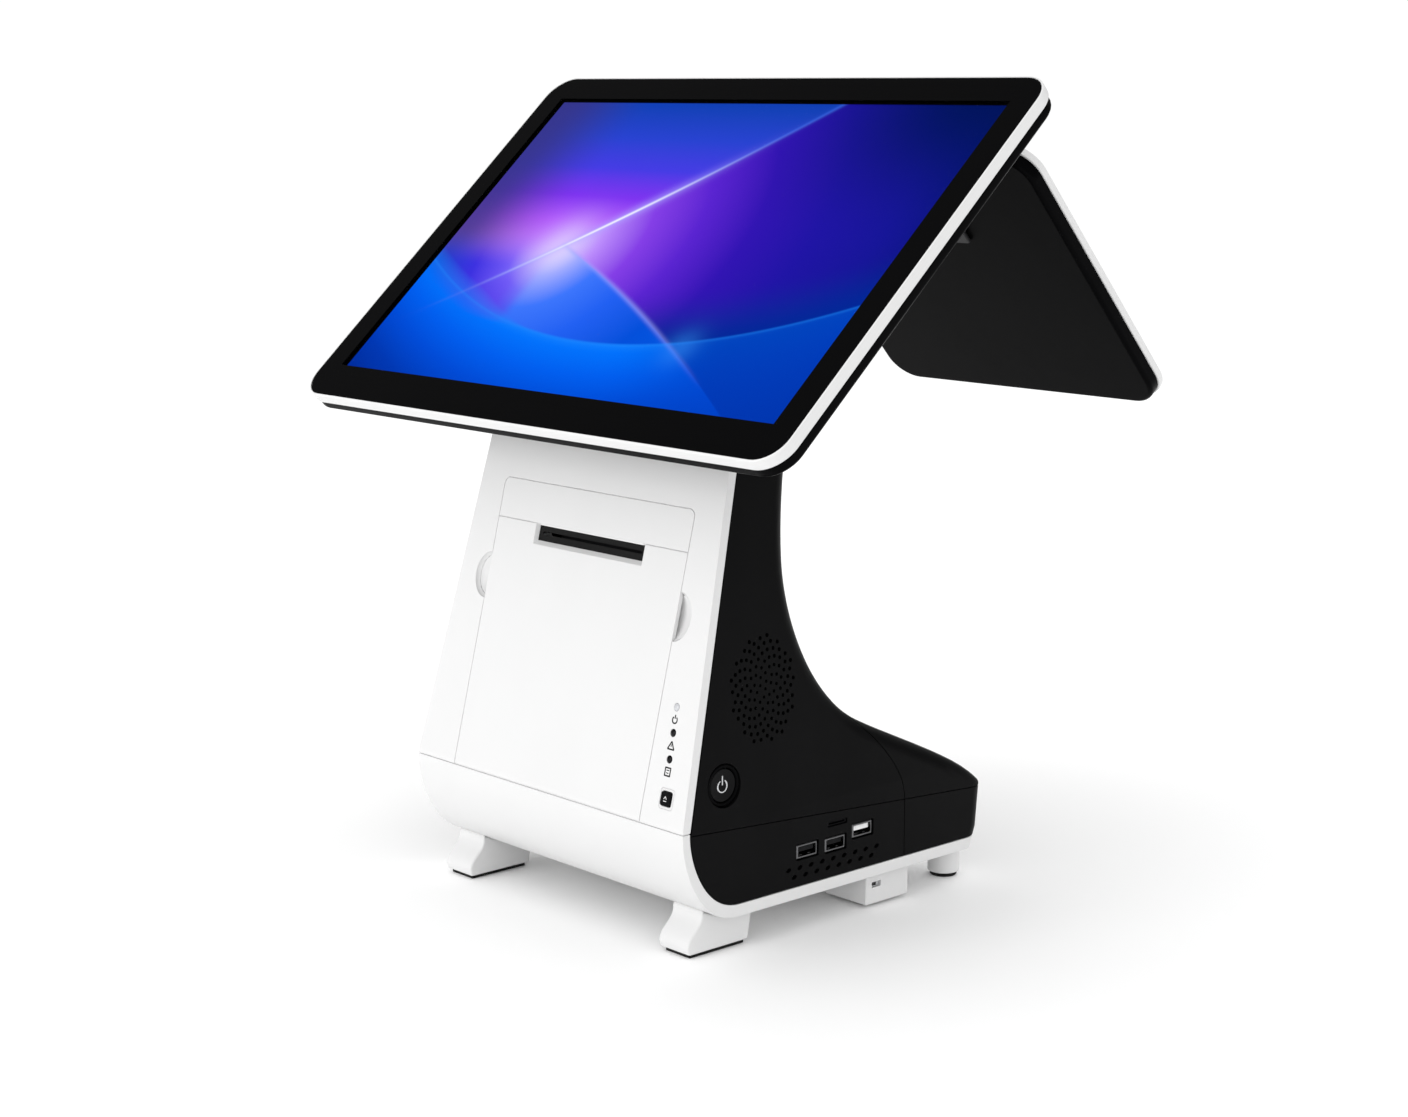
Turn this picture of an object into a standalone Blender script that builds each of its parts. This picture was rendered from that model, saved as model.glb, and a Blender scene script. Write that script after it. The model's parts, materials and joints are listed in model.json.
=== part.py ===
"""Point-of-sale touchscreen terminal: leaning base with a receipt printer, an operator display
and a customer display on one hinge stand.  Metres, +Z up, the front faces -Y."""
import math

import bmesh
import bpy
from mathutils import Matrix, Vector
from mathutils.geometry import interpolate_bezier

MM = 0.001
GAP = 0.3 * MM

# Base
WALL = 2.5 * MM
HALF_WIDTH = 109.0 * MM
SEAM_Z = 69.0 * MM
NECK_TOP_Z = 258.0 * MM
FRONT_LEAN = math.radians(14.16)
SIDE_TAPER = 0.0806
EDGE_ROUND = 10.0 * MM
DOOR_HALF = 76.1 * MM
DOOR_TOP_S = 136.8 * MM
PANEL_TOP_S = 158.5 * MM

# Operator display: the active area's centre, its lean from vertical, and its outline
MAIN_CENTRE = Vector((0.0, 46.7, 348.3)) * MM
MAIN_LEAN = math.radians(47.8)
MAIN_HALF_W = 189.3 * MM
MAIN_LOW = -130.7 * MM
MAIN_HIGH = 125.7 * MM
MAIN_CORNER = 17.0 * MM
GLASS_AHEAD = 3.5 * MM
MAIN_AXIS_V = -45.0 * MM
MAIN_AXIS_DEPTH = 48.0 * MM

# Customer display: the centre of its back, its lean, and its outline
REAR_CENTRE = Vector((0.0, 277.8, 320.5)) * MM
REAR_LEAN = math.radians(42.1)
REAR_HALF_W = 104.0 * MM
REAR_HALF_H = 97.0 * MM
REAR_CORNER = 19.0 * MM
REAR_THICK = 12.0 * MM
REAR_AXIS_V = 58.0 * MM
REAR_AXIS_BACK = 16.0 * MM

# Stand, printer and controls
SHAFT_R = 6.0 * MM
REAR_SHAFT_R = 4.0 * MM
DOOR_AXIS = Vector((0.0, -33.2, 71.8)) * MM
ROLL_AXIS = Vector((0.0, 20.0, 122.0)) * MM
PLATEN_AXIS = Vector((0.0, 5.4, 187.8)) * MM
POWER_CENTRE = Vector((107.3, -5.4, 88.7)) * MM
SPEAKER_CENTRE = Vector((104.0, 24.5, 132.5)) * MM
SPEAKER_HALF = (22.5 * MM, 27.5 * MM)
FEED_AT = (92.7 * MM, 15.3 * MM)
USB_AT = ((51.8, 44.2), (72.3, 43.6), (92.4, 47.3))
LED_AT = ((88.4, 60.7), (89.2, 47.9), (90.0, 34.7))

# The origin is under the middle of the whole object
FRONT_REACH = MAIN_CENTRE.y + MAIN_LOW * math.sin(MAIN_LEAN) - GLASS_AHEAD * math.cos(MAIN_LEAN)
REAR_REACH = REAR_CENTRE.y + REAR_HALF_H * math.sin(REAR_LEAN) + REAR_THICK * math.cos(REAR_LEAN)
MIDDLE_Y = (FRONT_REACH + REAR_REACH) / 2


# Scene and helpers

for old in list(bpy.data.objects):
    bpy.data.objects.remove(old, do_unlink=True)
parts = bpy.data.collections.new("pos_terminal")
cutters = bpy.data.collections.new("cutters")
bpy.context.scene.collection.children.link(parts)
bpy.context.scene.collection.children.link(cutters)


def frame(name, parent=None, at=(0, 0, 0), lean=0.0):
    """An empty that places a group of pieces; lean turns it about X."""
    empty = bpy.data.objects.new(name, None)
    parts.objects.link(empty)
    empty.parent = parent
    empty.location = at
    empty.rotation_euler = (lean, 0, 0)
    return empty


terminal = frame("terminal", at=(0, -MIDDLE_Y, 0))


def material(name, colour, roughness, metallic=0.0):
    made = bpy.data.materials.new(name)
    made.use_nodes = True
    shader = made.node_tree.nodes["Principled BSDF"]
    shader.inputs["Base Color"].default_value = (*colour, 1.0)
    shader.inputs["Roughness"].default_value = roughness
    shader.inputs["Metallic"].default_value = metallic
    return made


WHITE = material("white_abs", (0.86, 0.86, 0.86), 0.4)
BLACK = material("black_abs", (0.012, 0.012, 0.013), 0.45)
GLASS = material("black_glass", (0.004, 0.004, 0.005), 0.06)
SCREEN = material("screen", (0.03, 0.08, 0.5), 0.2)
RUBBER = material("rubber", (0.02, 0.02, 0.02), 0.85)
STEEL = material("steel", (0.56, 0.57, 0.58), 0.32, 1.0)
BRACKET = material("dark_steel", (0.06, 0.06, 0.065), 0.4, 1.0)
PAPER = material("paper", (0.9, 0.9, 0.88), 0.9)
BOARD = material("board", (0.02, 0.16, 0.07), 0.5)
LAMP = material("lamp", (0.1, 0.1, 0.1), 0.25)


def add(name, mesh, look=None, parent=None, at=(0, 0, 0)):
    """A named piece, or a cutter when it has no material."""
    made = bpy.data.objects.new(name, mesh)
    made.parent = parent or terminal
    made.location = at
    if look is None:
        cutters.objects.link(made)
        made.hide_render = True
        made.display_type = "WIRE"
    else:
        parts.objects.link(made)
        mesh.materials.clear()
        mesh.materials.append(look)
    return made


def finish(name, bm, smooth=None):
    bmesh.ops.recalc_face_normals(bm, faces=bm.faces)
    mesh = bpy.data.meshes.new(name)
    bm.to_mesh(mesh)
    bm.free()
    if smooth is not None:
        mesh.shade_smooth()
        mesh.set_sharp_from_angle(angle=math.radians(smooth))
    return mesh


def prism(name, outline, low, high, axis="X", smooth=None):
    """A closed outline extruded along X (outline in Y, Z) or along Y (outline in X, Z)."""
    bm = bmesh.new()
    place = {"X": lambda a, b: (low, a, b), "Y": lambda a, b: (a, low, b)}[axis]
    face = bm.faces.new([bm.verts.new(place(a, b)) for a, b in outline])
    grown = bmesh.ops.extrude_face_region(bm, geom=[face])["geom"]
    step = Vector((high - low, 0, 0)) if axis == "X" else Vector((0, high - low, 0))
    moved = [item for item in grown if isinstance(item, bmesh.types.BMVert)]
    bmesh.ops.translate(bm, verts=moved, vec=step)
    return finish(name, bm, smooth)


def block(name, low, high, bevel=0.0):
    """A box between two corners in millimetres, with rounded edges."""
    low = Vector(low) * MM
    high = Vector(high) * MM
    bm = bmesh.new()
    bmesh.ops.create_cube(bm, size=1.0)
    bmesh.ops.scale(bm, vec=high - low, verts=bm.verts)
    bmesh.ops.translate(bm, vec=(high + low) / 2, verts=bm.verts)
    if bevel:
        bmesh.ops.bevel(bm, geom=bm.edges, offset=bevel * MM, segments=1, profile=0.5,
                        affect="EDGES")
    return finish(name, bm)


def rod(name, radius, low, high, axis="X", sides=24, centre=(0, 0)):
    """A cylinder along one axis, between two places on it; centre gives the other two."""
    bm = bmesh.new()
    bmesh.ops.create_cone(bm, cap_ends=True, segments=sides, radius1=radius, radius2=radius,
                          depth=high - low)
    middle = (high + low) / 2
    turn = {"X": Matrix.Rotation(math.pi / 2, 4, "Y"), "Y": Matrix.Rotation(math.pi / 2, 4, "X"),
            "Z": Matrix.Identity(4)}[axis]
    a, b = centre
    move = {"X": (middle, a, b), "Y": (a, middle, b), "Z": (a, b, middle)}[axis]
    bmesh.ops.transform(bm, matrix=Matrix.Translation(move) @ turn, verts=bm.verts)
    return finish(name, bm, smooth=40)


def loft(name, sections, smooth=None):
    """A solid through a row of outlines with the same number of points."""
    bm = bmesh.new()
    loops = []
    for section in sections:
        ring = [bm.verts.new(point) for point in section]
        loops.append([bm.edges.new((ring[i - 1], ring[i])) for i in range(len(ring))])
        if section is sections[0] or section is sections[-1]:
            bm.faces.new(ring)
    for near, far in zip(loops, loops[1:]):
        bmesh.ops.bridge_loops(bm, edges=near + far)
    return finish(name, bm, smooth)


def boolean(obj, other, operation):
    step = obj.modifiers.new(operation.lower(), "BOOLEAN")
    step.operation = operation
    step.solver = "EXACT"
    step.object = other
    return obj


def cut(obj, mesh, parent=None, at=(0, 0, 0)):
    return boolean(obj, add("cut_" + mesh.name, mesh, None, parent, at), "DIFFERENCE")


def weld(obj, mesh, parent=None, at=(0, 0, 0)):
    return boolean(obj, add("join_" + mesh.name, mesh, None, parent, at), "UNION")


def curve(*points, steps=8):
    """Points along one cubic stretch, given in millimetres as Y, Z."""
    handles = [Vector((y, z, 0)) * MM for y, z in points]
    return [(p.x, p.y) for p in interpolate_bezier(*handles, steps)]


def yz(*points):
    return [(y * MM, z * MM) for y, z in points]


def rounded(half_w, low, high, radius, inset=0.0, steps=4):
    """A rectangle with round corners in X, Z."""
    radius = max(radius - inset, 1.0 * MM)
    corners = ((half_w - inset - radius, high - inset - radius, 0),
               (-half_w + inset + radius, high - inset - radius, 90),
               (-half_w + inset + radius, low + inset + radius, 180),
               (half_w - inset - radius, low + inset + radius, 270))
    outline = []
    for x, z, start in corners:
        for step in range(steps + 1):
            angle = math.radians(start + 90 * step / steps)
            outline.append((x + radius * math.cos(angle), z + radius * math.sin(angle)))
    return outline


# Base housing: one outer form, divided along the seams into its mouldings

def front_y(z):
    """The leaning front face, in metres."""
    return -34.9 * MM + (z - SEAM_Z) * math.tan(FRONT_LEAN)


def seam_y_to_z(y):
    """The side seam falls slightly towards the back."""
    return 67.6 * MM - (y + 29.5 * MM) * 0.066


def half_width(z):
    return HALF_WIDTH - max(0.0, z - SEAM_Z) * SIDE_TAPER


def front_curve(steps=8):
    """From the foot of the straight front, under the nose, to the flat floor."""
    return curve((-34.0, 73.0), (-37.5, 58.0), (-26.0, 19.5), (2.0, 19.5), steps=steps)


def back_curve():
    """From the top of the neck down the hollow back to the tail."""
    neck = curve((55, 258), (50.5, 238), (47, 215), (47, 195), steps=4)
    hollow = curve((47, 195), (47, 160), (66, 120), (97, 104), steps=8)
    tail = curve((97, 104), (125, 89.5), (172, 72), (189.5, 56), steps=6)
    return neck + hollow[1:] + tail[1:]


def outer_form():
    """The full outside of the base as one closed surface, narrower towards the top."""
    nose = front_curve()
    back = back_curve()
    outline = [(front_y(NECK_TOP_Z), NECK_TOP_Z)] + nose + yz((183, 19.5), (187, 30))
    outline += list(reversed(back))
    bm = bmesh.new()
    face = bm.faces.new([bm.verts.new((-HALF_WIDTH, y, z)) for y, z in outline])
    grown = bmesh.ops.extrude_face_region(bm, geom=[face])["geom"]
    moved = [item for item in grown if isinstance(item, bmesh.types.BMVert)]
    bmesh.ops.translate(bm, verts=moved, vec=(2 * HALF_WIDTH, 0, 0))
    rounded_points = {(round(y, 6), round(z, 6)) for y, z in back + yz((187, 30))}
    soft = []
    for edge in bm.edges:
        ends = [(round(v.co.y, 6), round(v.co.z, 6)) for v in edge.verts]
        same_side = abs(edge.verts[0].co.x - edge.verts[1].co.x) < MM
        if same_side and all(end in rounded_points for end in ends):
            soft.append(edge)
    bmesh.ops.bevel(bm, geom=soft, offset=EDGE_ROUND, segments=3, profile=0.5, affect="EDGES")
    bmesh.ops.bisect_plane(bm, geom=bm.verts[:] + bm.edges[:] + bm.faces[:],
                           plane_co=(0, 0, SEAM_Z), plane_no=(0, 0, 1))
    for vert in bm.verts:
        vert.co.x *= half_width(vert.co.z) / HALF_WIDTH
    return finish("outer_form", bm, smooth=35)


form = outer_form()


def moulding(name, look, region, half=130 * MM, low=None, high=None, thick=WALL):
    """The part of the housing's wall that lies in a region of Y, Z between two places in X."""
    piece = add(name, form.copy(), look)
    wall = piece.modifiers.new("wall", "SOLIDIFY")
    wall.thickness = thick
    wall.offset = -1.0
    wall.use_even_offset = True
    low = -half if low is None else low
    high = half if high is None else high
    return boolean(piece, add("region_" + name, prism("region_" + name, region, low, high)),
                   "INTERSECT")


def strip_line(z, gap):
    """Back edge of the white front's side band."""
    return front_y(z) + 5.5 * MM + gap


def band_curve(gap):
    """Inner edge of the tray's side band, from the seam to the level stretch."""
    bow = curve((-29.5, 68.85), (-30.5, 57.0), (-21.0, 26.0), (4.0, 26.0))
    return [(y + gap, z + gap) for y, z in bow]


def tail_seam(gap):
    """The curved seam ahead of the cable cover, from the side seam up and over the back."""
    bow = curve((124.3, 56.5), (124.0, 75.0), (108.0, 90.0), (84.0, 112.0))
    return [(y + gap, z) for y, z in bow + yz((76.0, 122.0))]


def base_mouldings():
    half_gap = GAP / 2
    above = 262 * MM
    seam_top = SEAM_Z + half_gap
    front = [(-60 * MM, seam_top), (strip_line(seam_top, -half_gap), seam_top),
             (strip_line(above, -half_gap), above), (-60 * MM, above)]
    front_frame = moulding("front_frame", WHITE, front)
    window = rounded(DOOR_HALF + GAP, -60 * MM, PANEL_TOP_S + GAP, 4.3 * MM)
    cut(front_frame, prism("window", window, -8 * MM, 3.6 * MM, "Y"), front_plane)

    tray = [(-60 * MM, SEAM_Z - half_gap)]
    tray += [(y - half_gap, z - half_gap) for y, z in band_curve(0)]
    tray += yz((200, 25.85), (200, 5), (-60, 5))
    moulding("bottom_tray", WHITE, tray)

    bow = band_curve(half_gap)
    seam_start = strip_line(SEAM_Z, half_gap)
    upper = [(seam_start, seam_y_to_z(seam_start) + half_gap)]
    upper += [(strip_line(above, half_gap), above), (66 * MM, above), (66 * MM, 140 * MM)]
    upper += list(reversed(tail_seam(-half_gap)[1:]))
    upper.append((124.1 * MM, seam_y_to_z(124.1 * MM) + half_gap))
    housing = moulding("upper_housing", BLACK, upper)

    skirt_top = seam_y_to_z(bow[0][0]) - half_gap
    skirt = [(bow[0][0], skirt_top)] + [point for point in bow if point[1] < skirt_top - MM]
    skirt += [(124.1 * MM, 26.15 * MM), (124.1 * MM, seam_y_to_z(124.1 * MM) - half_gap)]
    skirt_r = moulding("side_skirt_r", BLACK, skirt, low=60 * MM, high=130 * MM)
    moulding("side_skirt_l", BLACK, skirt, low=-130 * MM, high=-60 * MM)

    tail_low = 26.15 * MM
    tail_seam_z = seam_y_to_z(124.4 * MM)
    rear_skirt = [(124.4 * MM, tail_low), (205 * MM, tail_low),
                  (205 * MM, seam_y_to_z(205 * MM) - half_gap),
                  (124.4 * MM, tail_seam_z - half_gap)]
    tail = moulding("rear_skirt", BLACK, rear_skirt)
    cover = [(124.45 * MM, tail_seam_z + half_gap), (205 * MM, seam_y_to_z(205 * MM) + half_gap),
             (205 * MM, 140 * MM), (76 * MM, 140 * MM)]
    cover += list(reversed(tail_seam(half_gap)))[:-1]
    moulding("rear_cover", BLACK, cover)
    return front_frame, housing, skirt_r, tail


def door_and_panel():
    """The printer door and the fixed panel above it, flush in the front frame's window."""
    lean = math.tan(FRONT_LEAN)
    foot = 69.6 * MM
    top = SEAM_Z + DOOR_TOP_S * math.cos(FRONT_LEAN)
    inner, outer = 40 * MM, -60 * MM
    region = [(outer, foot), (0.0, foot), (inner, top - (inner - front_y(top)) * lean),
              (outer, top - (outer - front_y(top)) * lean)]
    door = moulding("printer_door", WHITE, region, half=DOOR_HALF)
    slot = block("paper_slot", (-42, -6, 127.6), (42, 6, 142))
    cut(door, slot, front_plane)
    for side in (-1, 1):
        lug = curve((-1.2, 176), (12, 172), (14, 190), (9, 195), steps=6) + yz((-2.2, 196.5))
        low, high = sorted((side * 44.5 * MM, side * 48 * MM))
        weld(door, prism("platen_lug", lug, low, high))
        cut(door, rod("lug_hole", 2.4 * MM, low - MM, high + MM, sides=12,
                      centre=PLATEN_AXIS.yz))
        inner, outer = sorted((side * 72.5 * MM, side * 80 * MM))
        cut(door, rod("door_pin_hole", 1.1 * MM, inner, outer, sides=10, centre=DOOR_AXIS.yz))
    panel = [(-60 * MM, SEAM_Z + 100 * MM), (60 * MM, SEAM_Z + 100 * MM),
             (60 * MM, NECK_TOP_Z - 4 * MM), (-60 * MM, NECK_TOP_Z - 4 * MM)]
    fixed = moulding("top_panel", WHITE, panel)
    outline = rounded(DOOR_HALF, DOOR_TOP_S + GAP, PANEL_TOP_S, 4 * MM)
    outline = [(x, max(z, DOOR_TOP_S + GAP)) for x, z in outline]
    square = [(DOOR_HALF, DOOR_TOP_S + GAP), (-DOOR_HALF, DOOR_TOP_S + GAP)]
    kept = [point for point in outline if point[1] > DOOR_TOP_S + 5 * MM]
    keep = prism("panel_edge", kept + list(reversed(square)), -8 * MM, 6 * MM, "Y")
    boolean(fixed, add("keep_panel", keep, None, front_plane), "INTERSECT")


def grip_pockets(front_frame):
    """Half-round finger pockets beside the door."""
    for side in (-1, 1):
        low, high = sorted((side * 76.6, side * 91))
        weld(front_frame, block("grip_back", (low, 2.2, 88), (high, 7, 121)), front_plane)
        bm = bmesh.new()
        bmesh.ops.create_uvsphere(bm, u_segments=16, v_segments=8, radius=1.0)
        bmesh.ops.scale(bm, vec=Vector((10.5, 5.0, 12.5)) * MM, verts=bm.verts)
        cut(front_frame, finish("grip_scoop", bm), front_plane, (side * 76.4 * MM, 0, 104.5 * MM))


# Feet

def foot_outline():
    nose = [(y, z - 0.4 * MM) for y, z in front_curve(16) if y > -13.5 * MM]
    front = curve((-14.2, 23.5), (-12.5, 14.5), (-23.5, 13.5), (-23.5, 5.5), steps=7)
    return front + yz((-22.5, 2.1), (18.0, 2.1), (21.0, 19.1)) + list(reversed(nose))


def feet():
    outline = foot_outline()
    for side, tag in ((1, "r"), (-1, "l")):
        low, high = sorted((side * 78 * MM, side * 100.4 * MM))
        foot = add("front_foot_" + tag, prism("front_foot", outline, low, high, smooth=35), WHITE)
        rounding = foot.modifiers.new("edges", "BEVEL")
        rounding.width = 1.2 * MM
        rounding.segments = 1
        rounding.limit_method = "ANGLE"
        rounding.angle_limit = math.radians(50)
        low, high = sorted((side * 80.2, side * 98.4))
        add("front_pad_" + tag, block("front_pad", (low, -20.5, 0), (high, 16.5, 1.8), 0.3), RUBBER)
        at = (side * 88 * MM, 179 * MM)
        add("rear_foot_" + tag, rod("rear_foot", 8.8 * MM, 2.1 * MM, 19.2 * MM, "Z", 20, at), WHITE)
        add("rear_pad_" + tag, rod("rear_pad", 7.4 * MM, 0.0, 1.8 * MM, "Z", 20, at), RUBBER)
    lock = add("lock_block", block("lock_block", (72.6, 100.8, 2), (103.8, 133.5, 19.2), 0.8), WHITE)
    cut(lock, block("lock_slot", (96, 105.2, 11.0), (105, 112.2, 14.2)))


# Printer

def printer():
    shell = yz((-20, 88), (54, 88), (54, 135), (42, 172), (0.2, 172))
    printer_frame = add("printer_frame", prism("bucket", shell, -43.5 * MM, 43.5 * MM), BRACKET)
    hollow = yz((-30, 90), (52, 90), (52, 134.6), (37.3, 180), (-12, 180))
    cut(printer_frame, prism("paper_bay", hollow, -41.5 * MM, 41.5 * MM))
    for side in (-1, 1):
        low, high = sorted((side * 41.5, side * 43.5))
        weld(printer_frame, block("bucket_leg", (low, 4, 22.4), (high, 44, 90)))
    roll = add("paper_roll", rod("paper_roll", 30 * MM, -39.8 * MM, 39.8 * MM, sides=32), PAPER,
               None, ROLL_AXIS)
    cut(roll, rod("roll_bore", 9.3 * MM, -45 * MM, 45 * MM, sides=20), None, ROLL_AXIS)
    core = add("roll_core", rod("roll_core", 9.0 * MM, -39.5 * MM, 39.5 * MM, sides=20), LAMP,
               None, ROLL_AXIS)
    cut(core, rod("core_bore", 6.5 * MM, -45 * MM, 45 * MM, sides=20), None, ROLL_AXIS)
    add("print_head", block("print_head", (-40, 12, 184), (40, 26, 197), 0.6), STEEL)
    add("tear_bar", block("tear_bar", (-41, 4.5, 197.6), (41, 11, 199.4), 0.3), STEEL)
    roller = add("platen_roller", rod("platen_roller", 5 * MM, -42 * MM, 42 * MM, sides=20),
                 RUBBER, None, PLATEN_AXIS)
    weld(roller, rod("platen_shaft", 2.1 * MM, -53.5 * MM, 53.5 * MM, sides=12), None, PLATEN_AXIS)
    gear = add("platen_gear", rod("platen_gear", 6.4 * MM, 49 * MM, 53 * MM, sides=24), LAMP, None,
               PLATEN_AXIS)
    cut(gear, rod("gear_bore", 2.4 * MM, 48 * MM, 54 * MM, sides=12), None, PLATEN_AXIS)
    for tooth in range(12):
        angle = math.radians(30 * tooth)
        middle = PLATEN_AXIS + Vector((51 * MM, 6.4 * MM * math.cos(angle),
                                       6.4 * MM * math.sin(angle)))
        notch = rod("gear_notch", 0.7 * MM, -3 * MM, 3 * MM, sides=6)
        cut(gear, notch, None, middle)
    for side, tag in ((1, "r"), (-1, "l")):
        low, high = sorted((side * 73.2 * MM, side * 79 * MM))
        add("door_pin_" + tag, rod("door_pin", 0.8 * MM, low, high, sides=10,
                                   centre=DOOR_AXIS.yz), STEEL)


# Controls, lamps and sockets

def sunflower(count):
    """Points of a spiral rosette in a unit circle."""
    golden = math.pi * (3 - math.sqrt(5))
    for index in range(count):
        radius = math.sqrt((index + 0.5) / count)
        yield radius * math.cos(index * golden), radius * math.sin(index * golden)


def speaker(housing):
    """A rosette of sound holes through the right wall, with the driver behind it."""
    bm = bmesh.new()
    for a, b in sunflower(96):
        made = bmesh.ops.create_cone(bm, cap_ends=True, segments=5, radius1=0.95 * MM,
                                     radius2=0.95 * MM, depth=30 * MM)["verts"]
        spot = Vector((0, a * SPEAKER_HALF[0], b * SPEAKER_HALF[1]))
        bmesh.ops.transform(bm, verts=made,
                            matrix=Matrix.Translation(spot) @ Matrix.Rotation(math.pi / 2, 4, "Y"))
    cut(housing, finish("sound_holes", bm), None, SPEAKER_CENTRE)
    driver = loft("speaker_driver", [
        [(x, r * math.cos(math.radians(18 * i)), r * math.sin(math.radians(18 * i)))
         for i in range(20)]
        for x, r in ((-4.5 * MM, 21 * MM), (-8 * MM, 21 * MM), (-16 * MM, 11 * MM),
                     (-22 * MM, 11 * MM))], smooth=40)
    add("speaker_driver", driver, BLACK, None, SPEAKER_CENTRE)


def power_button(housing):
    spot = POWER_CENTRE.yz
    cut(housing, rod("power_hole", 10.9 * MM, 98 * MM, 112 * MM, sides=32, centre=spot))
    ring = add("power_ring", rod("power_ring", 10.6 * MM, 103.2 * MM, 106.8 * MM, sides=32,
                                 centre=spot), BLACK)
    cut(ring, rod("ring_bore", 8.9 * MM, 102 * MM, 108 * MM, sides=32, centre=spot))
    button = add("power_button", rod("power_cap", 8.5 * MM, -3.3 * MM, -1.0 * MM, sides=32), BLACK,
                 None, POWER_CENTRE)
    weld(button, rod("power_stem", 3 * MM, -8 * MM, -3 * MM, sides=12), None, POWER_CENTRE)


def front_controls(front_frame):
    x, s = FEED_AT
    half = 3.5 * MM
    hole = rounded(half + GAP, -half - GAP, half + GAP, 1.2 * MM, steps=2)
    cut(front_frame, prism("feed_hole", hole, -5 * MM, 6 * MM, "Y"), front_plane, (x, 0, s))
    face = rounded(half, -half, half, 0.9 * MM, steps=2)
    add("feed_button", prism("feed_button", face, -0.7 * MM, 4.5 * MM, "Y"), BLACK, front_plane,
        (x, 0, s))
    for name, (x, s) in zip(("led_power", "led_error", "led_paper"), LED_AT):
        spot = (x * MM, s * MM)
        cut(front_frame, rod(name + "_hole", 2.2 * MM, -5 * MM, 6 * MM, "Y", 12, spot), front_plane)
        add(name, rod(name, 1.9 * MM, -0.1 * MM, 4 * MM, "Y", 16, spot), LAMP, front_plane)


def sockets(skirt, tail):
    """Three USB sockets and a card slot in the right skirt, two sockets in the tail."""
    for index, (y, z) in enumerate(USB_AT, 1):
        tag = f"usb_port_{index}"
        cut(skirt, block("usb_window", (100, y - 8, z - 4.3), (112, y + 8, z + 4.3)))
        port = add(tag, block(tag, (91, y - 7.7, z - 4.0), (108.4, y + 7.7, z + 4.0), 0.3), STEEL)
        cut(port, block("usb_mouth", (97.5, y - 6.3, z - 2.6), (110, y + 6.3, z + 2.6)))
        weld(port, block("usb_tongue", (97, y - 5.2, z + 0.4), (104.5, y + 5.2, z + 1.9)))
    y, z = 73.5, 54.6
    cut(skirt, block("card_window", (100, y - 7.2, z - 1.4), (112, y + 7.2, z + 1.4)))
    card = add("card_slot", block("card_slot", (96, y - 6.9, z - 1.1), (108.2, y + 6.9, z + 1.1)),
               BLACK)
    cut(card, block("card_mouth", (100, y - 6, z - 0.6), (110, y + 6, z + 0.6)))
    for row, z, start in ((0, 36.0, 38.2), (1, 31.6, 42.3)):
        for hole in range(9 - row):
            spot = ((start + 8.1 * hole) * MM, z * MM)
            cut(skirt, rod("vent", 1.5 * MM, 100 * MM, 112 * MM, sides=6, centre=spot))
    board = block("mainboard", (52, 30, 36.4), (96, 118, 38))
    add("mainboard", board, BOARD)
    cut(tail, block("inlet_window", (-46, 180, 32), (-34, 196, 44)))
    inlet = add("dc_inlet", block("dc_inlet", (-45.7, 172, 32.3), (-34.3, 188.2, 43.7), 0.3), BLACK)
    cut(inlet, rod("inlet_bore", 3.4 * MM, 176 * MM, 190 * MM, "Y", 16, (-40 * MM, 38 * MM)))
    cut(tail, block("network_window", (-24, 180, 31), (-7, 196, 45)))
    jack = add("network_jack", block("network_jack", (-23.7, 170, 31.3), (-7.3, 188.2, 44.7), 0.3),
               STEEL)
    cut(jack, block("network_mouth", (-21.4, 176, 34), (-9.6, 190, 42)))


# Displays and their stand

def plate(name, half_w, low, high, corner, near, far, inset=0.0):
    return prism(name, rounded(half_w, low, high, corner, inset), near, far, "Y", smooth=35)


def shell_solid(name, size, steps):
    """A dished back: outlines at growing depth and inset."""
    half_w, low, high, corner = size
    sections = []
    for depth, inset in steps:
        outline = rounded(half_w, low, high, corner, inset * MM)
        sections.append([(x, depth * MM, z) for x, z in outline])
    return loft(name, sections, smooth=30)


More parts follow.
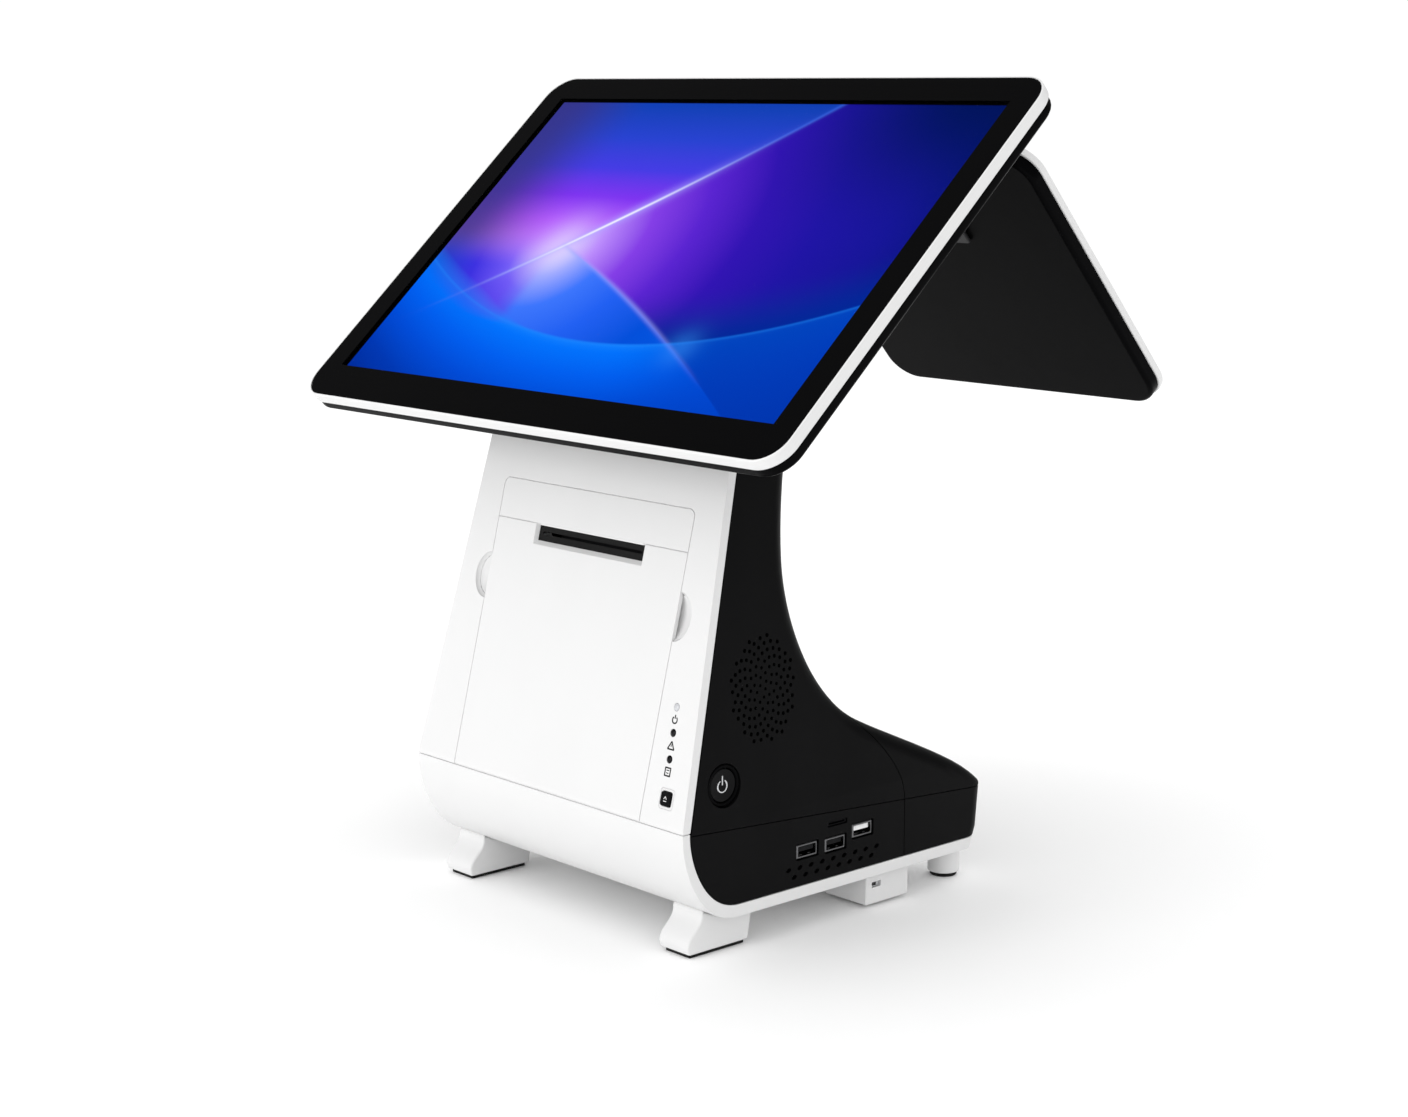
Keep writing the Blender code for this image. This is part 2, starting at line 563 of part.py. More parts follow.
def main_display():
    size = (MAIN_HALF_W, MAIN_LOW, MAIN_HIGH, MAIN_CORNER)
    ring = add("display_ring", plate("display_ring", *size, 0.0, 6.5 * MM), WHITE, main_frame)
    cut(ring, plate("glass_seat", *size, -1 * MM, 3.3 * MM, 1.0 * MM), main_frame)
    cut(ring, plate("ring_opening", *size, -2 * MM, 8 * MM, 9 * MM), main_frame)
    add("display_glass", plate("display_glass", *size, 0.0, 3.0 * MM, 1.3 * MM), GLASS, main_frame)
    panel = block("display_lcd", (-177, 3.5, -112), (177, 9.5, 112), 0.5)
    add("display_lcd", panel, SCREEN, main_frame)
    outside = shell_solid("display_back", size, ((6.8, 0.8), (11.8, 0.8), (13.4, 2.6), (27, 34)))
    inside = shell_solid("display_hollow", size, ((5, 3.2), (10.8, 3.2), (11.6, 5), (24.6, 36)))
    back = add("display_back", outside, BLACK, main_frame)
    cut(back, inside, main_frame)
    low = MAIN_AXIS_V / MM
    bracket = add("display_bracket", block("display_bracket", (-50, 27.3, low - 25),
                                           (50, 30.3, low + 45), 0.5), BRACKET, main_frame)
    for side in (-1, 1):
        near, far = sorted((side * 29 * MM, side * 37 * MM))
        weld(bracket, lug("bracket_lug", near, far, 29 * MM, MAIN_AXIS_DEPTH, MAIN_AXIS_V, 11 * MM),
             main_frame)
    cut(bracket, rod("bracket_bore", SHAFT_R + GAP, -60 * MM, 60 * MM,
                     centre=(MAIN_AXIS_DEPTH, MAIN_AXIS_V)), main_frame)
    for number, (x, z) in enumerate(((-42, -18), (42, -18), (-42, 38), (42, 38)), 1):
        spot = (x * MM, MAIN_AXIS_V + z * MM)
        add(f"bracket_screw_{number}", rod("bracket_screw", 3 * MM, 30.6 * MM, 32.4 * MM, "Y", 12,
                                           spot), STEEL, main_frame)


def lug(name, near, far, root, axis_y, axis_z, radius):
    """An ear that grows from a plate at root and rounds about an axis."""
    outline = [(root, axis_z + radius * 1.3)]
    turn = 1 if axis_y > root else -1
    for step in range(9):
        angle = math.radians(90 - 22.5 * step)
        outline.append((axis_y + turn * radius * math.cos(angle), axis_z + radius * math.sin(angle)))
    outline.append((root, axis_z - radius * 1.3))
    return prism(name, outline, near, far, smooth=35)


def stand():
    axis = main_axis
    base = block("hinge_stand", (-58, 20, 258.3), (58, 50, 262), 0.5)
    hinge_stand = add("hinge_stand", base, BRACKET)
    for side in (-1, 1):
        near, far = sorted((side * 40 * MM, side * 48 * MM))
        outline = [(axis.y + 15 * MM, 260 * MM), (axis.y - 15 * MM, 260 * MM)]
        for step in range(9):
            angle = math.radians(180 - 22.5 * step)
            outline.append((axis.y + 11 * MM * math.cos(angle), axis.z + 11 * MM * math.sin(angle)))
        outline = [(min(y, 50 * MM) if z < 270 * MM else y, z) for y, z in outline]
        weld(hinge_stand, prism("stand_lug", outline, near, far, smooth=35))
    cut(hinge_stand, rod("stand_bore", SHAFT_R + GAP, -60 * MM, 60 * MM, centre=axis.yz))
    add("hinge_shaft", rod("hinge_shaft", SHAFT_R, -54 * MM, 54 * MM, centre=axis.yz), STEEL)
    upper = curve((30, 286), (32, 306), (110, 312), (221, 361.8), steps=9)
    tip = []
    for step in range(1, 7):
        angle = math.radians(115 - 32 * step)
        tip.append((rear_axis.y + 10 * MM * math.cos(angle), rear_axis.z + 10 * MM * math.sin(angle)))
    lower = curve((222, 343), (130, 300), (70, 292), (50, 262.3), steps=8)
    arm = add("rear_arm", prism("rear_arm", upper + tip + lower + yz((30, 262.3)), -20 * MM,
                                20 * MM, smooth=35), BRACKET)
    cut(arm, rod("arm_bore", SHAFT_R + GAP, -30 * MM, 30 * MM, centre=axis.yz))
    cut(arm, rod("arm_tip_bore", REAR_SHAFT_R + GAP, -30 * MM, 30 * MM, centre=rear_axis.yz))
    add("rear_shaft", rod("rear_shaft", REAR_SHAFT_R, -31 * MM, 31 * MM, centre=rear_axis.yz),
        STEEL)


def rear_display():
    size = (REAR_HALF_W, -REAR_HALF_H, REAR_HALF_H, REAR_CORNER)
    outside = shell_solid("rear_display_back", size, ((7.3, 0.8), (2.2, 1.0), (0.0, 4.0)))
    back = add("rear_display_back", outside, BLACK, rear_frame)
    cut(back, shell_solid("rear_hollow", size, ((9, 3.2), (3.6, 3.4), (2.0, 6.0))), rear_frame)
    ring = add("rear_display_ring", plate("rear_display_ring", *size, 7.6 * MM, REAR_THICK), WHITE,
               rear_frame)
    cut(ring, plate("rear_glass_seat", *size, 9.4 * MM, 14 * MM, 1.0 * MM), rear_frame)
    cut(ring, plate("rear_ring_opening", *size, 5 * MM, 14 * MM, 7 * MM), rear_frame)
    add("rear_display_glass", plate("rear_display_glass", *size, 9.7 * MM, 11.9 * MM, 1.3 * MM),
        GLASS, rear_frame)
    add("rear_display_lcd", block("rear_display_lcd", (-94, 4.2, -78), (94, 9.3, 78), 0.4), SCREEN,
        rear_frame)
    axis_z = REAR_AXIS_V / MM
    bracket = add("rear_bracket", block("rear_bracket", (-32, -2.8, axis_z - 26),
                                        (32, -0.3, axis_z + 26), 0.4), BRACKET, rear_frame)
    for side in (-1, 1):
        near, far = sorted((side * 22 * MM, side * 28 * MM))
        weld(bracket, lug("rear_lug", near, far, -1 * MM, -REAR_AXIS_BACK, REAR_AXIS_V, 8 * MM),
             rear_frame)
    cut(bracket, rod("rear_bore", REAR_SHAFT_R + GAP, -40 * MM, 40 * MM,
                     centre=(-REAR_AXIS_BACK, REAR_AXIS_V)), rear_frame)


# Frames of the leaning groups.  Each display's empty stands on its own hinge axis.
front_plane = frame("front_plane", terminal, (0, -34.9 * MM, SEAM_Z), -FRONT_LEAN)
main_turn = Matrix.Rotation(-MAIN_LEAN, 3, "X")
rear_turn = Matrix.Rotation(REAR_LEAN, 3, "X")
main_axis = MAIN_CENTRE + main_turn @ Vector((0, MAIN_AXIS_DEPTH - GLASS_AHEAD, MAIN_AXIS_V))
rear_axis = REAR_CENTRE + rear_turn @ Vector((0, -REAR_AXIS_BACK, REAR_AXIS_V))
main_hinge = frame("main_hinge", terminal, main_axis, -MAIN_LEAN)
main_frame = frame("main_frame", main_hinge, (0, -MAIN_AXIS_DEPTH, -MAIN_AXIS_V))
rear_hinge = frame("rear_hinge", terminal, rear_axis, REAR_LEAN)
rear_frame = frame("rear_frame", rear_hinge, (0, REAR_AXIS_BACK, -REAR_AXIS_V))

front_frame_piece, upper_housing, right_skirt, tail_skirt = base_mouldings()
grip_pockets(front_frame_piece)
for pin_side in (-1, 1):
    pin_low, pin_high = sorted((pin_side * 75 * MM, pin_side * 80 * MM))
    cut(front_frame_piece, rod("frame_pin_hole", 1.1 * MM, pin_low, pin_high, sides=10,
                               centre=DOOR_AXIS.yz))
door_and_panel()
feet()
printer()
speaker(upper_housing)
power_button(upper_housing)
front_controls(front_frame_piece)
sockets(right_skirt, tail_skirt)
main_display()
stand()
rear_display()
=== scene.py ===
"""Point-of-sale touchscreen terminal: every visible moulding, glass, key and socket, built round
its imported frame.  The makers below work in millimetres, and a place matrix sets each piece down."""
import json
from math import cos, pi, radians, sin, sqrt, tan, tau

import bmesh
import bpy
from mathutils import Matrix, Vector
from mathutils.geometry import interpolate_bezier


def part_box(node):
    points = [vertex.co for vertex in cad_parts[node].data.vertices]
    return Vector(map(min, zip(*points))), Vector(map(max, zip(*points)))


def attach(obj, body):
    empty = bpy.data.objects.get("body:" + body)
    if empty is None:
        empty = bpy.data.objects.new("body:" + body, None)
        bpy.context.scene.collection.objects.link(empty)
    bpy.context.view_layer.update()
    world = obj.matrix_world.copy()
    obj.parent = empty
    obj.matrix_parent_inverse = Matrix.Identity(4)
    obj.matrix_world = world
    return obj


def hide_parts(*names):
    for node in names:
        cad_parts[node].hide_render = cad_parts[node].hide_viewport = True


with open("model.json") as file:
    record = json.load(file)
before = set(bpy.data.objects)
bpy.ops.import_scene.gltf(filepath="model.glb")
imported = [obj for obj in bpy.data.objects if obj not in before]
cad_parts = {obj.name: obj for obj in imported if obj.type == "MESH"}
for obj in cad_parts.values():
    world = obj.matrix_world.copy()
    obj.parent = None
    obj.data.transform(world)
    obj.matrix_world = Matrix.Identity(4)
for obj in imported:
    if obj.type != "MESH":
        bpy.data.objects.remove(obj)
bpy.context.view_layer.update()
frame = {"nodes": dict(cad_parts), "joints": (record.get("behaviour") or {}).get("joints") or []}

nodes = frame["nodes"]
joint_at = {joint["name"]: Vector(joint.get("pos_m", (0, 0, 0))) for joint in frame["joints"]}
MM = Matrix.Scale(0.001, 4)


def set_at(x, y, z):
    """A move to a place."""
    return Matrix.Translation((x, y, z))


# Base: the sizes of its side profile, in millimetres from the foot of the front face
WALL = 2.5
GAP = 0.3
HALF_GAP = GAP / 2
HALF_WIDTH = 109.0
SEAM_Z = 69.0
NECK_TOP = 258.0
FRONT_FOOT = -34.9
FRONT_LEAN = radians(14.16)
SIDE_TAPER = 0.0806
EDGE_ROUND = 10.0
NOSE = ((-33.891, 73.0), (-37.5, 58.0), (-26.0, 19.5), (2.0, 19.5))
NECK = ((55, 258), (50.5, 238), (47, 215), (47, 195))
HOLLOW = ((47, 195), (47, 160), (66, 120), (97, 104))
TAIL = ((97, 104), (125, 89.5), (172, 72), (189.5, 56))
BAND = ((-29.5, 68.85), (-30.5, 57.0), (-21.0, 26.0), (4.0, 26.0))
TAIL_SEAM = ((124.3, 56.5), (124.0, 75.0), (108.0, 90.0), (84.0, 112.0))
DOOR_HALF = 76.1
DOOR_TOP = 136.8
PANEL_TOP = 158.5
REAR_FOOT_Y = 179.0
SKIRT_END = 124.1
TAIL_START = 124.4

# Heights and depths that lie clear of the whole base, for the ends of cutting regions
AHEAD = -60
BEHIND = 205
ABOVE = 262.0
SIDE_CUT = (100, 112)

# Controls and sockets: across and up the front face, or back and up on the right side
FEED_AT = (92.7, 15.3)
LED_AT = ((88.4, 60.7), (89.2, 47.9), (90.0, 34.7))
USB_AT = ((51.8, 44.2), (72.3, 43.6), (92.4, 47.3))
POWER_AT = (-5.4, 88.7)
POWER_X = 107.3
SPEAKER_AT = (24.5, 132.5)
PLATEN_AXIS = (5.4, 187.8)

# Displays: half width, lowest, highest and corner radius of each outline
MAIN_LEAN = radians(47.8)
MAIN_SIZE = (189.3, -130.7, 125.7, 17.0)
MAIN_AXIS = (-48.0, 45.0)
MAIN_ACTIVE = (172.3, 107.7)
REAR_LEAN = radians(42.1)
REAR_SIZE = (104.0, -97.0, 97.0, 19.0)
REAR_AXIS = (16.0, -58.0)
REAR_ACTIVE = (93.0, 77.0)

foot_low, foot_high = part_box("rear_pad_r")
SHIFT = set_at(0, (foot_low.y + foot_high.y) / 2 - REAR_FOOT_Y * 0.001, 0)
BASE = SHIFT @ MM
FACE = set_at(0, FRONT_FOOT, SEAM_Z) @ Matrix.Rotation(-FRONT_LEAN, 4, "X")
MAIN = (Matrix.Translation(joint_at["main_tilt"]) @ Matrix.Rotation(-MAIN_LEAN, 4, "X") @ MM
        @ set_at(0, *MAIN_AXIS))
REAR = (Matrix.Translation(joint_at["customer_tilt"]) @ Matrix.Rotation(REAR_LEAN, 4, "X") @ MM
        @ set_at(0, *REAR_AXIS))


# Shader values: a Mix node's two colour inputs and its colour output, then the classes

COLOUR_A, COLOUR_B, COLOUR_OUT = 6, 7, 2


class Flow:
    """A shader value.  Arithmetic on it adds Math nodes to its graph."""

    def __init__(self, graph, socket):
        self.graph = graph
        self.socket = socket

    def math(self, operation, *others):
        return self.graph.node("ShaderNodeMath", {"operation": operation}, self, *others)

    def __add__(self, other):
        return self.math("ADD", other)

    def __sub__(self, other):
        return self.math("SUBTRACT", other)

    def __rsub__(self, other):
        return self.graph.node("ShaderNodeMath", {"operation": "SUBTRACT"}, other, self)

    def __mul__(self, other):
        return self.math("MULTIPLY", other)

    def __truediv__(self, other):
        return self.math("DIVIDE", other)

    __radd__ = __add__
    __rmul__ = __mul__

    def fall(self, width):
        """A bell that is 1 where the value is 0 and gone a few widths away."""
        near = self / width
        return self.graph.node("ShaderNodeMath", {"operation": "EXPONENT"}, near * near * -1.0)

    def rise(self, low, high):
        """0 below low, 1 above high, and smooth between."""
        return self.graph.node("ShaderNodeMapRange", {"interpolation_type": "SMOOTHSTEP"},
                                self, low, high, 0.0, 1.0)


class Graph:
    """A node tree, of a finish or of the room round the terminal."""

    def __init__(self, tree):
        self.tree = tree

    def plug(self, socket, value):
        if isinstance(value, Flow):
            self.tree.links.new(value.socket, socket)
        else:
            socket.default_value = value

    def node(self, kind, settings, *values, out=0, **named):
        """Any shader node: its settings first, then the values or links of its sockets."""
        made = self.tree.nodes.new(kind)
        for key, value in settings.items():
            if key == "stops":
                while len(made.color_ramp.elements) < len(value):
                    made.color_ramp.elements.new(1.0)
                for stop, (place, colour) in zip(made.color_ramp.elements, value):
                    stop.position = place
                    stop.color = (*colour, 1.0)
            else:
                setattr(made, key, value)
        for socket, value in zip(made.inputs, values):
            self.plug(socket, value)
        for key, value in named.items():
            self.plug(made.inputs[key.replace("_", " ")], value)
        return Flow(self, made.outputs[out])


class Finish(Graph):
    """A material for one of the terminal's surfaces."""

    def __init__(self, name, colour, roughness, shine=0.5, metallic=0.0):
        self.material = bpy.data.materials.new(name)
        self.material.use_nodes = True
        super().__init__(self.material.node_tree)
        self.shader = self.tree.nodes["Principled BSDF"]
        self.set("Base Color", (*colour, 1.0))
        self.set("Roughness", roughness)
        self.set("Specular IOR Level", shine)
        self.set("Metallic", metallic)

    def set(self, name, value):
        self.plug(self.shader.inputs[name], value)

    def where(self, scale=(1, 1, 1), turn=(0, 0, 0)):
        """A point's own place on the piece, in metres."""
        place = self.node("ShaderNodeTexCoord", {}, out="Object")
        return self.node("ShaderNodeMapping", {}, place, (0, 0, 0), turn, scale)

    def axes(self):
        """X, Y and Z of a point's own place."""
        place = self.node("ShaderNodeTexCoord", {}, out="Object")
        split = self.node("ShaderNodeSeparateXYZ", {}, place)
        made = split.socket.node
        return [Flow(self, made.outputs[index]) for index in range(3)]

    def noise(self, size_mm, detail=2.0, stretch=(1, 1, 1), roughness=0.5):
        """Cloudy noise whose lumps are about size_mm across."""
        return self.node("ShaderNodeTexNoise", {}, self.where(stretch), Scale=1000.0 / size_mm,
                         Detail=detail, Roughness=roughness)

    def mix(self, mask, first, second):
        """first where the mask is 0, second where it is 1; both are colours."""
        mixed = self.node("ShaderNodeMix", {"data_type": "RGBA"}, mask, out=COLOUR_OUT)
        for index, colour in ((COLOUR_A, first), (COLOUR_B, second)):
            self.plug(mixed.socket.node.inputs[index],
                      colour if isinstance(colour, Flow) else (*colour, 1.0))
        return mixed

    def bump(self, height, distance_mm, strength=1.0):
        bumped = self.node("ShaderNodeBump", {}, Strength=strength, Distance=distance_mm * 0.001,
                           Height=height)
        self.set("Normal", bumped)


def screen_colour(red, green, blue):
    """A display colour in bytes, as linear light."""
    return tuple((value / 255) ** 2.2 for value in (red, green, blue))


def moulded(name, colour, roughness, grain_mm, depth_mm, tint=0.2, shine=0.5):
    """Injection-moulded plastic with a fine eroded grain, faint flow marks and handling wear."""
    made = Finish(name, colour, roughness, shine)
    grain = made.noise(grain_mm, detail=3.0, roughness=0.6)
    flow = made.noise(38.0, detail=2.0, stretch=(1.0, 1.0, 0.45))
    worn = made.noise(9.0, detail=4.0, roughness=0.62)
    made.set("Base Color", made.mix(flow.rise(0.3, 0.75), colour,
                                    tuple(value * (1 - tint) for value in colour)))
    made.set("Roughness", (worn - 0.5) * 0.14 + (flow - 0.5) * 0.08 + roughness)
    made.bump(grain * 0.8 + worn * 0.2, depth_mm)
    return made.material


def glossy_border(name, active, up, offset):
    """Black printed cover glass, clear over the picture.  up turns a place into a height."""
    made = Finish(name, (0.0018, 0.0018, 0.002), 0.07, shine=0.06)
    x, y, z = made.axes()
    height = y * up[0] + z * up[1] - offset
    inside_x = 1 - x.math("ABSOLUTE").rise(active[0] * 0.001 - 0.0001, active[0] * 0.001)
    inside_z = 1 - height.math("ABSOLUTE").rise(active[1] * 0.001 - 0.0001, active[1] * 0.001)
    made.set("Alpha", 1 - inside_x * inside_z * 0.985)
    smear = made.noise(22.0, detail=5.0, stretch=(0.5, 1.0, 1.0), roughness=0.66)
    made.set("Roughness", smear.rise(0.35, 0.8) * 0.09 + 0.05)
    return made.material


def metal(name, colour, roughness, along=(1, 1, 1), brush_mm=0.5, depth_mm=0.004):
    """Metal with brushing or rolling marks that run along one axis."""
    made = Finish(name, colour, roughness, metallic=1.0)
    brushed = made.noise(brush_mm, detail=3.0, stretch=along)
    cloud = made.noise(14.0, detail=3.0)
    made.set("Base Color", made.mix(cloud.rise(0.3, 0.8), colour,
                                    tuple(value * 0.82 for value in colour)))
    made.set("Roughness", (brushed - 0.5) * 0.22 + (cloud - 0.5) * 0.1 + roughness)
    made.bump(brushed, depth_mm, 0.6)
    return made.material


def powder_coat():
    made = Finish("powder_coated_steel", (0.02, 0.02, 0.022), 0.48, shine=0.35)
    peel = made.noise(1.1, detail=2.0)
    speck = made.noise(0.35, detail=1.0)
    made.set("Roughness", peel.rise(0.3, 0.7) * 0.12 + 0.42)
    made.bump(peel * 0.8 + speck * 0.2, 0.03, 0.7)
    return made.material


def rubber():
    made = Finish("foot_rubber", (0.012, 0.012, 0.012), 0.85, shine=0.2)
    bloom = made.noise(4.0, detail=4.0)
    made.set("Base Color", made.mix(bloom.rise(0.45, 0.8), (0.01, 0.01, 0.01),
                                    (0.024, 0.023, 0.022)))
    made.set("Roughness", bloom * 0.2 + 0.74)
    made.bump(made.noise(0.5, detail=2.0), 0.03, 0.6)
    return made.material


def paper():
    """Thermal paper: fine fibres, and the edges of its turns on the roll's ends."""
    made = Finish("thermal_paper", (0.84, 0.84, 0.82), 0.82)
    x, y, z = made.axes()
    centre = joint_at["paper_spin"]
    along = y - centre.y
    high = z - centre.z
    radius = (along * along + high * high).math("SQRT")
    turns = (radius * 5200.0).math("SINE")
    at_end = x.math("ABSOLUTE").rise(0.0396, 0.03975)
    shade = (turns * 0.5 + 0.5) * at_end
    fibre = made.noise(0.7, detail=4.0, stretch=(1.0, 0.6, 1.0))
    paler = made.mix(shade, (0.86, 0.86, 0.84), (0.62, 0.61, 0.58))
    made.set("Base Color", made.mix(fibre.rise(0.4, 0.7) * 0.3, paler, (0.74, 0.74, 0.72)))
    made.bump(fibre * 0.5 + shade * 0.5, 0.02, 0.5)
    return made.material


def circuit_board():
    made = Finish("circuit_board", (0.015, 0.12, 0.05), 0.4, shine=0.5)
    x, y, _ = made.axes()
    rows = (x * 1900.0).math("SINE").rise(0.72, 0.86)
    columns = (y * 1900.0).math("SINE").rise(0.72, 0.86)
    area = made.noise(9.0, detail=1.0)
    tracks = rows * area.rise(0.5, 0.52) + columns * (1 - area.rise(0.5, 0.52))
    made.set("Base Color", made.mix(tracks, (0.012, 0.1, 0.045), (0.04, 0.22, 0.1)))
    made.bump(tracks, 0.03, 0.5)
    return made.material


def wallpaper(name, up, offset, depth_axis, face_depth, half_height, across=1):
    """The picture on a display: a beam of light that crosses two arcs over a blue field.
    Its coordinates run across and up in units of a display 107.7 high from its middle."""
    made = Finish(name, (0.0004, 0.0004, 0.0005), 0.3, shine=0.0)
    x, y, z = made.axes()
    unit = 107.7 / half_height * 1000.0
    u = x * (unit * across)
    v = (y * up[0] + z * up[1] - offset) * unit
    run = (u + 127.4) / 183.6
    beam = v - (run * 152.1 - 44.4) + run * (1 - run) * 24.0
    arc = v + u * 0.458 + u * u * 0.000565 + 34.75
    bowl = v - (u - 5.0) * (u - 5.0) * 0.00152 + 69.3
    from_x = u + 74.9
    from_y = v + 5.0
    reach = (from_x * from_x + from_y * from_y).math("SQRT")

    def ramp(distance, *stops):
        marks = [(place / 260.0, screen_colour(*colour)) for place, colour in stops]
        return made.node("ShaderNodeValToRGB", {"stops": marks}, distance / 260.0)

    def paint(mask, under, *colour):
        return made.mix(mask, under, screen_colour(*colour))

    right = ramp(reach, (0, (206, 190, 252)), (28, (182, 132, 250)), (60, (130, 64, 228)),
                 (95, (90, 40, 206)), (135, (52, 26, 176)), (180, (36, 26, 162)),
                 (225, (28, 27, 150)), (260, (18, 27, 128)))
    right = paint((40.0 - bowl).rise(0.0, 46.0) * u.rise(-40.0, 60.0), right, 4, 44, 150)
    right = paint(v.rise(10.0, 118.0) * u.rise(10.0, 150.0) * 0.95, right, 2, 26, 88)
    climb = v + u * 0.02
    left = ramp(climb + 12.0, (0, (196, 130, 252)), (24, (176, 90, 250)), (44, (124, 54, 238)),
                (66, (70, 62, 226)), (90, (44, 68, 206)), (115, (26, 66, 180)),
                (135, (16, 60, 162)))
    left = paint((-118.0 - u).rise(-26.0, 52.0) * 0.9, left, 58, 56, 132)
    corner = ramp(reach, (0, (206, 186, 255)), (34, (108, 86, 244)), (62, (62, 52, 222)),
                  (95, (30, 62, 200)), (135, (8, 66, 190)))
    middle = ramp(reach, (0, (214, 210, 255)), (22, (142, 160, 254)), (46, (62, 116, 250)),
                  (78, (38, 96, 240)), (120, (10, 80, 216)), (165, (4, 88, 222)))
    low = ramp(bowl * -1.0 + 8.0, (0, (34, 140, 255)), (14, (6, 112, 250)), (30, (2, 94, 236)),
               (48, (1, 76, 212)), (70, (2, 58, 176)), (100, (3, 42, 142)))
    low = paint((u + arc * 0.4).rise(10.0, 120.0) * 0.7, low, 1, 70, 200)
    low = paint(arc.rise(-0.6, 0.8) * u.rise(52.0, 70.0) * 0.55, low, 2, 48, 158)
    under = made.mix(arc.rise(-0.7, 0.7), middle, right)
    under_left = made.mix(u.rise(-96.0, -60.0), corner, middle)
    under_left = made.mix(arc.rise(-0.7, 0.7), under_left, corner)
    under = made.mix(u.rise(-82.0, -70.0), under_left, under)
    field = made.mix(beam.rise(-0.7, 0.7) * v.rise(-24.0, 6.0), under, left)
    edge = (1 - u.rise(-120.0, -50.0)) * 9.0 + 1.0
    field = made.mix((edge - bowl) / edge * 0.5, field, low)
    lit = (u + 42.0).fall(40.0)
    core = beam.fall(1.5) * (u + 48.0).fall(42.0) * 0.9
    halo = beam.fall(6.5) * lit * 0.5
    trail = beam.fall(2.2) * run.rise(-0.05, 0.25) * 0.34
    hub = reach.fall(19.0) * 0.7
    field = paint(hub, field, 224, 208, 255)
    field = paint(halo, field, 178, 160, 255)
    field = paint(trail, field, 70, 122, 252)
    field = paint(core, field, 250, 248, 255)
    field = paint(arc.fall(1.6) * u.rise(-80.0, -60.0) * (1 - u.rise(20.0, 110.0)) * 0.45, field,
                     150, 160, 255)
    field = paint(bowl.fall(1.5) * 0.35 * (bowl * -1.0).rise(-1.0, 1.0), field, 40, 140, 255)
    spark = (u - 72.0) * (u - 72.0) + (v + 66.0) * (v + 66.0)
    field = paint(spark.math("SQRT").fall(11.0) * 0.3, field, 60, 150, 255)
    depth = y * depth_axis[0] + z * depth_axis[1]
    front = (face_depth - depth).rise(-0.0002, 0.0)
    made.set("Emission Color", made.mix(front, (0, 0, 0), field))
    made.set("Emission Strength", 1.05)
    return made.material


WHITE = moulded("white_moulding", (0.72, 0.72, 0.72), 0.42, 0.55, 0.012, 0.012, shine=0.3)
BLACK = moulded("black_moulding", (0.0034, 0.0034, 0.0037), 0.4, 0.5, 0.02, shine=0.05)
PIANO = moulded("black_shell", (0.002, 0.002, 0.0023), 0.34, 0.7, 0.006, shine=0.02)
KEYS = moulded("black_key", (0.0045, 0.0045, 0.005), 0.38, 0.4, 0.01, shine=0.07)
# Near-black print ink, also used for the dark plate in the paper slot that paints the shade inside it
PRINT_AND_SLOT_SHADE = moulded("print_and_slot_shade", (0.01, 0.01, 0.01), 0.6, 0.6, 0.01, shine=0.1)
LAMP = moulded("lamp_lens", (0.006, 0.006, 0.007), 0.24, 2.0, 0.004, shine=0.15)
CLEAR_LAMP = moulded("clear_lens", (0.55, 0.56, 0.58), 0.22, 2.0, 0.004, 0.05)
GEAR = moulded("gear_nylon", (0.16, 0.16, 0.17), 0.5, 0.6, 0.02, 0.1)
TONGUE = moulded("socket_tongue", (0.005, 0.005, 0.006), 0.4, 0.5, 0.01, shine=0.1)
WHITE_TONGUE = moulded("white_tongue", (0.86, 0.86, 0.86), 0.4, 0.5, 0.01, 0.04)
STEEL = metal("rolled_steel", (0.60, 0.61, 0.62), 0.3, (0.08, 1, 1))
NICKEL = metal("nickel_shell", (0.16, 0.16, 0.165), 0.3, brush_mm=1.5, depth_mm=0.002)
BRIGHT = metal("bright_trim", (0.72, 0.73, 0.75), 0.2, brush_mm=2.0, depth_mm=0.002)
GOLD = metal("gold_contact", (0.83, 0.62, 0.25), 0.25, brush_mm=1.0, depth_mm=0.002)
CASTING = powder_coat()
RUBBER = rubber()
PAPER = paper()
BOARD = circuit_board()


# Making pieces

TURN_TO = {"X": Matrix.Rotation(pi / 2, 4, "Y"), "Y": Matrix.Rotation(pi / 2, 4, "X"),
           "-Y": Matrix.Rotation(pi / 2, 4, "X"), "Z": Matrix.Identity(4)}
HALF_TURN = Matrix.Rotation(pi, 4, "Z")


def shown(name, data):
    """An object in the scene."""
    made = bpy.data.objects.new(name, data)
    bpy.context.scene.collection.objects.link(made)
    return made


def merge(bm, distance):
    bmesh.ops.remove_doubles(bm, verts=bm.verts, dist=distance)


def outward(bm):
    """The same solid with its faces pointing out."""
    bmesh.ops.recalc_face_normals(bm, faces=bm.faces)
    return bm


def moved(bm, place):
    bm.transform(place)
    return bm


def round_off(bm, geom, width, segments, affect="EDGES"):
    bmesh.ops.bevel(bm, geom=geom, offset=width, segments=segments, profile=0.5, affect=affect,
                    clamp_overlap=False, material=-1)


def carried(bm, face, step):
    """A flat face drawn out into a solid."""
    grown = bmesh.ops.extrude_face_region(bm, geom=[face])["geom"]
    bmesh.ops.translate(bm, verts=[v for v in grown if isinstance(v, bmesh.types.BMVert)], vec=step)


def open_edges(bm):
    return [edge for edge in bm.edges if edge.is_boundary]


def into_mesh(bm, name):
    mesh = bpy.data.meshes.new(name)
    bm.to_mesh(mesh)
    bm.free()
    return mesh


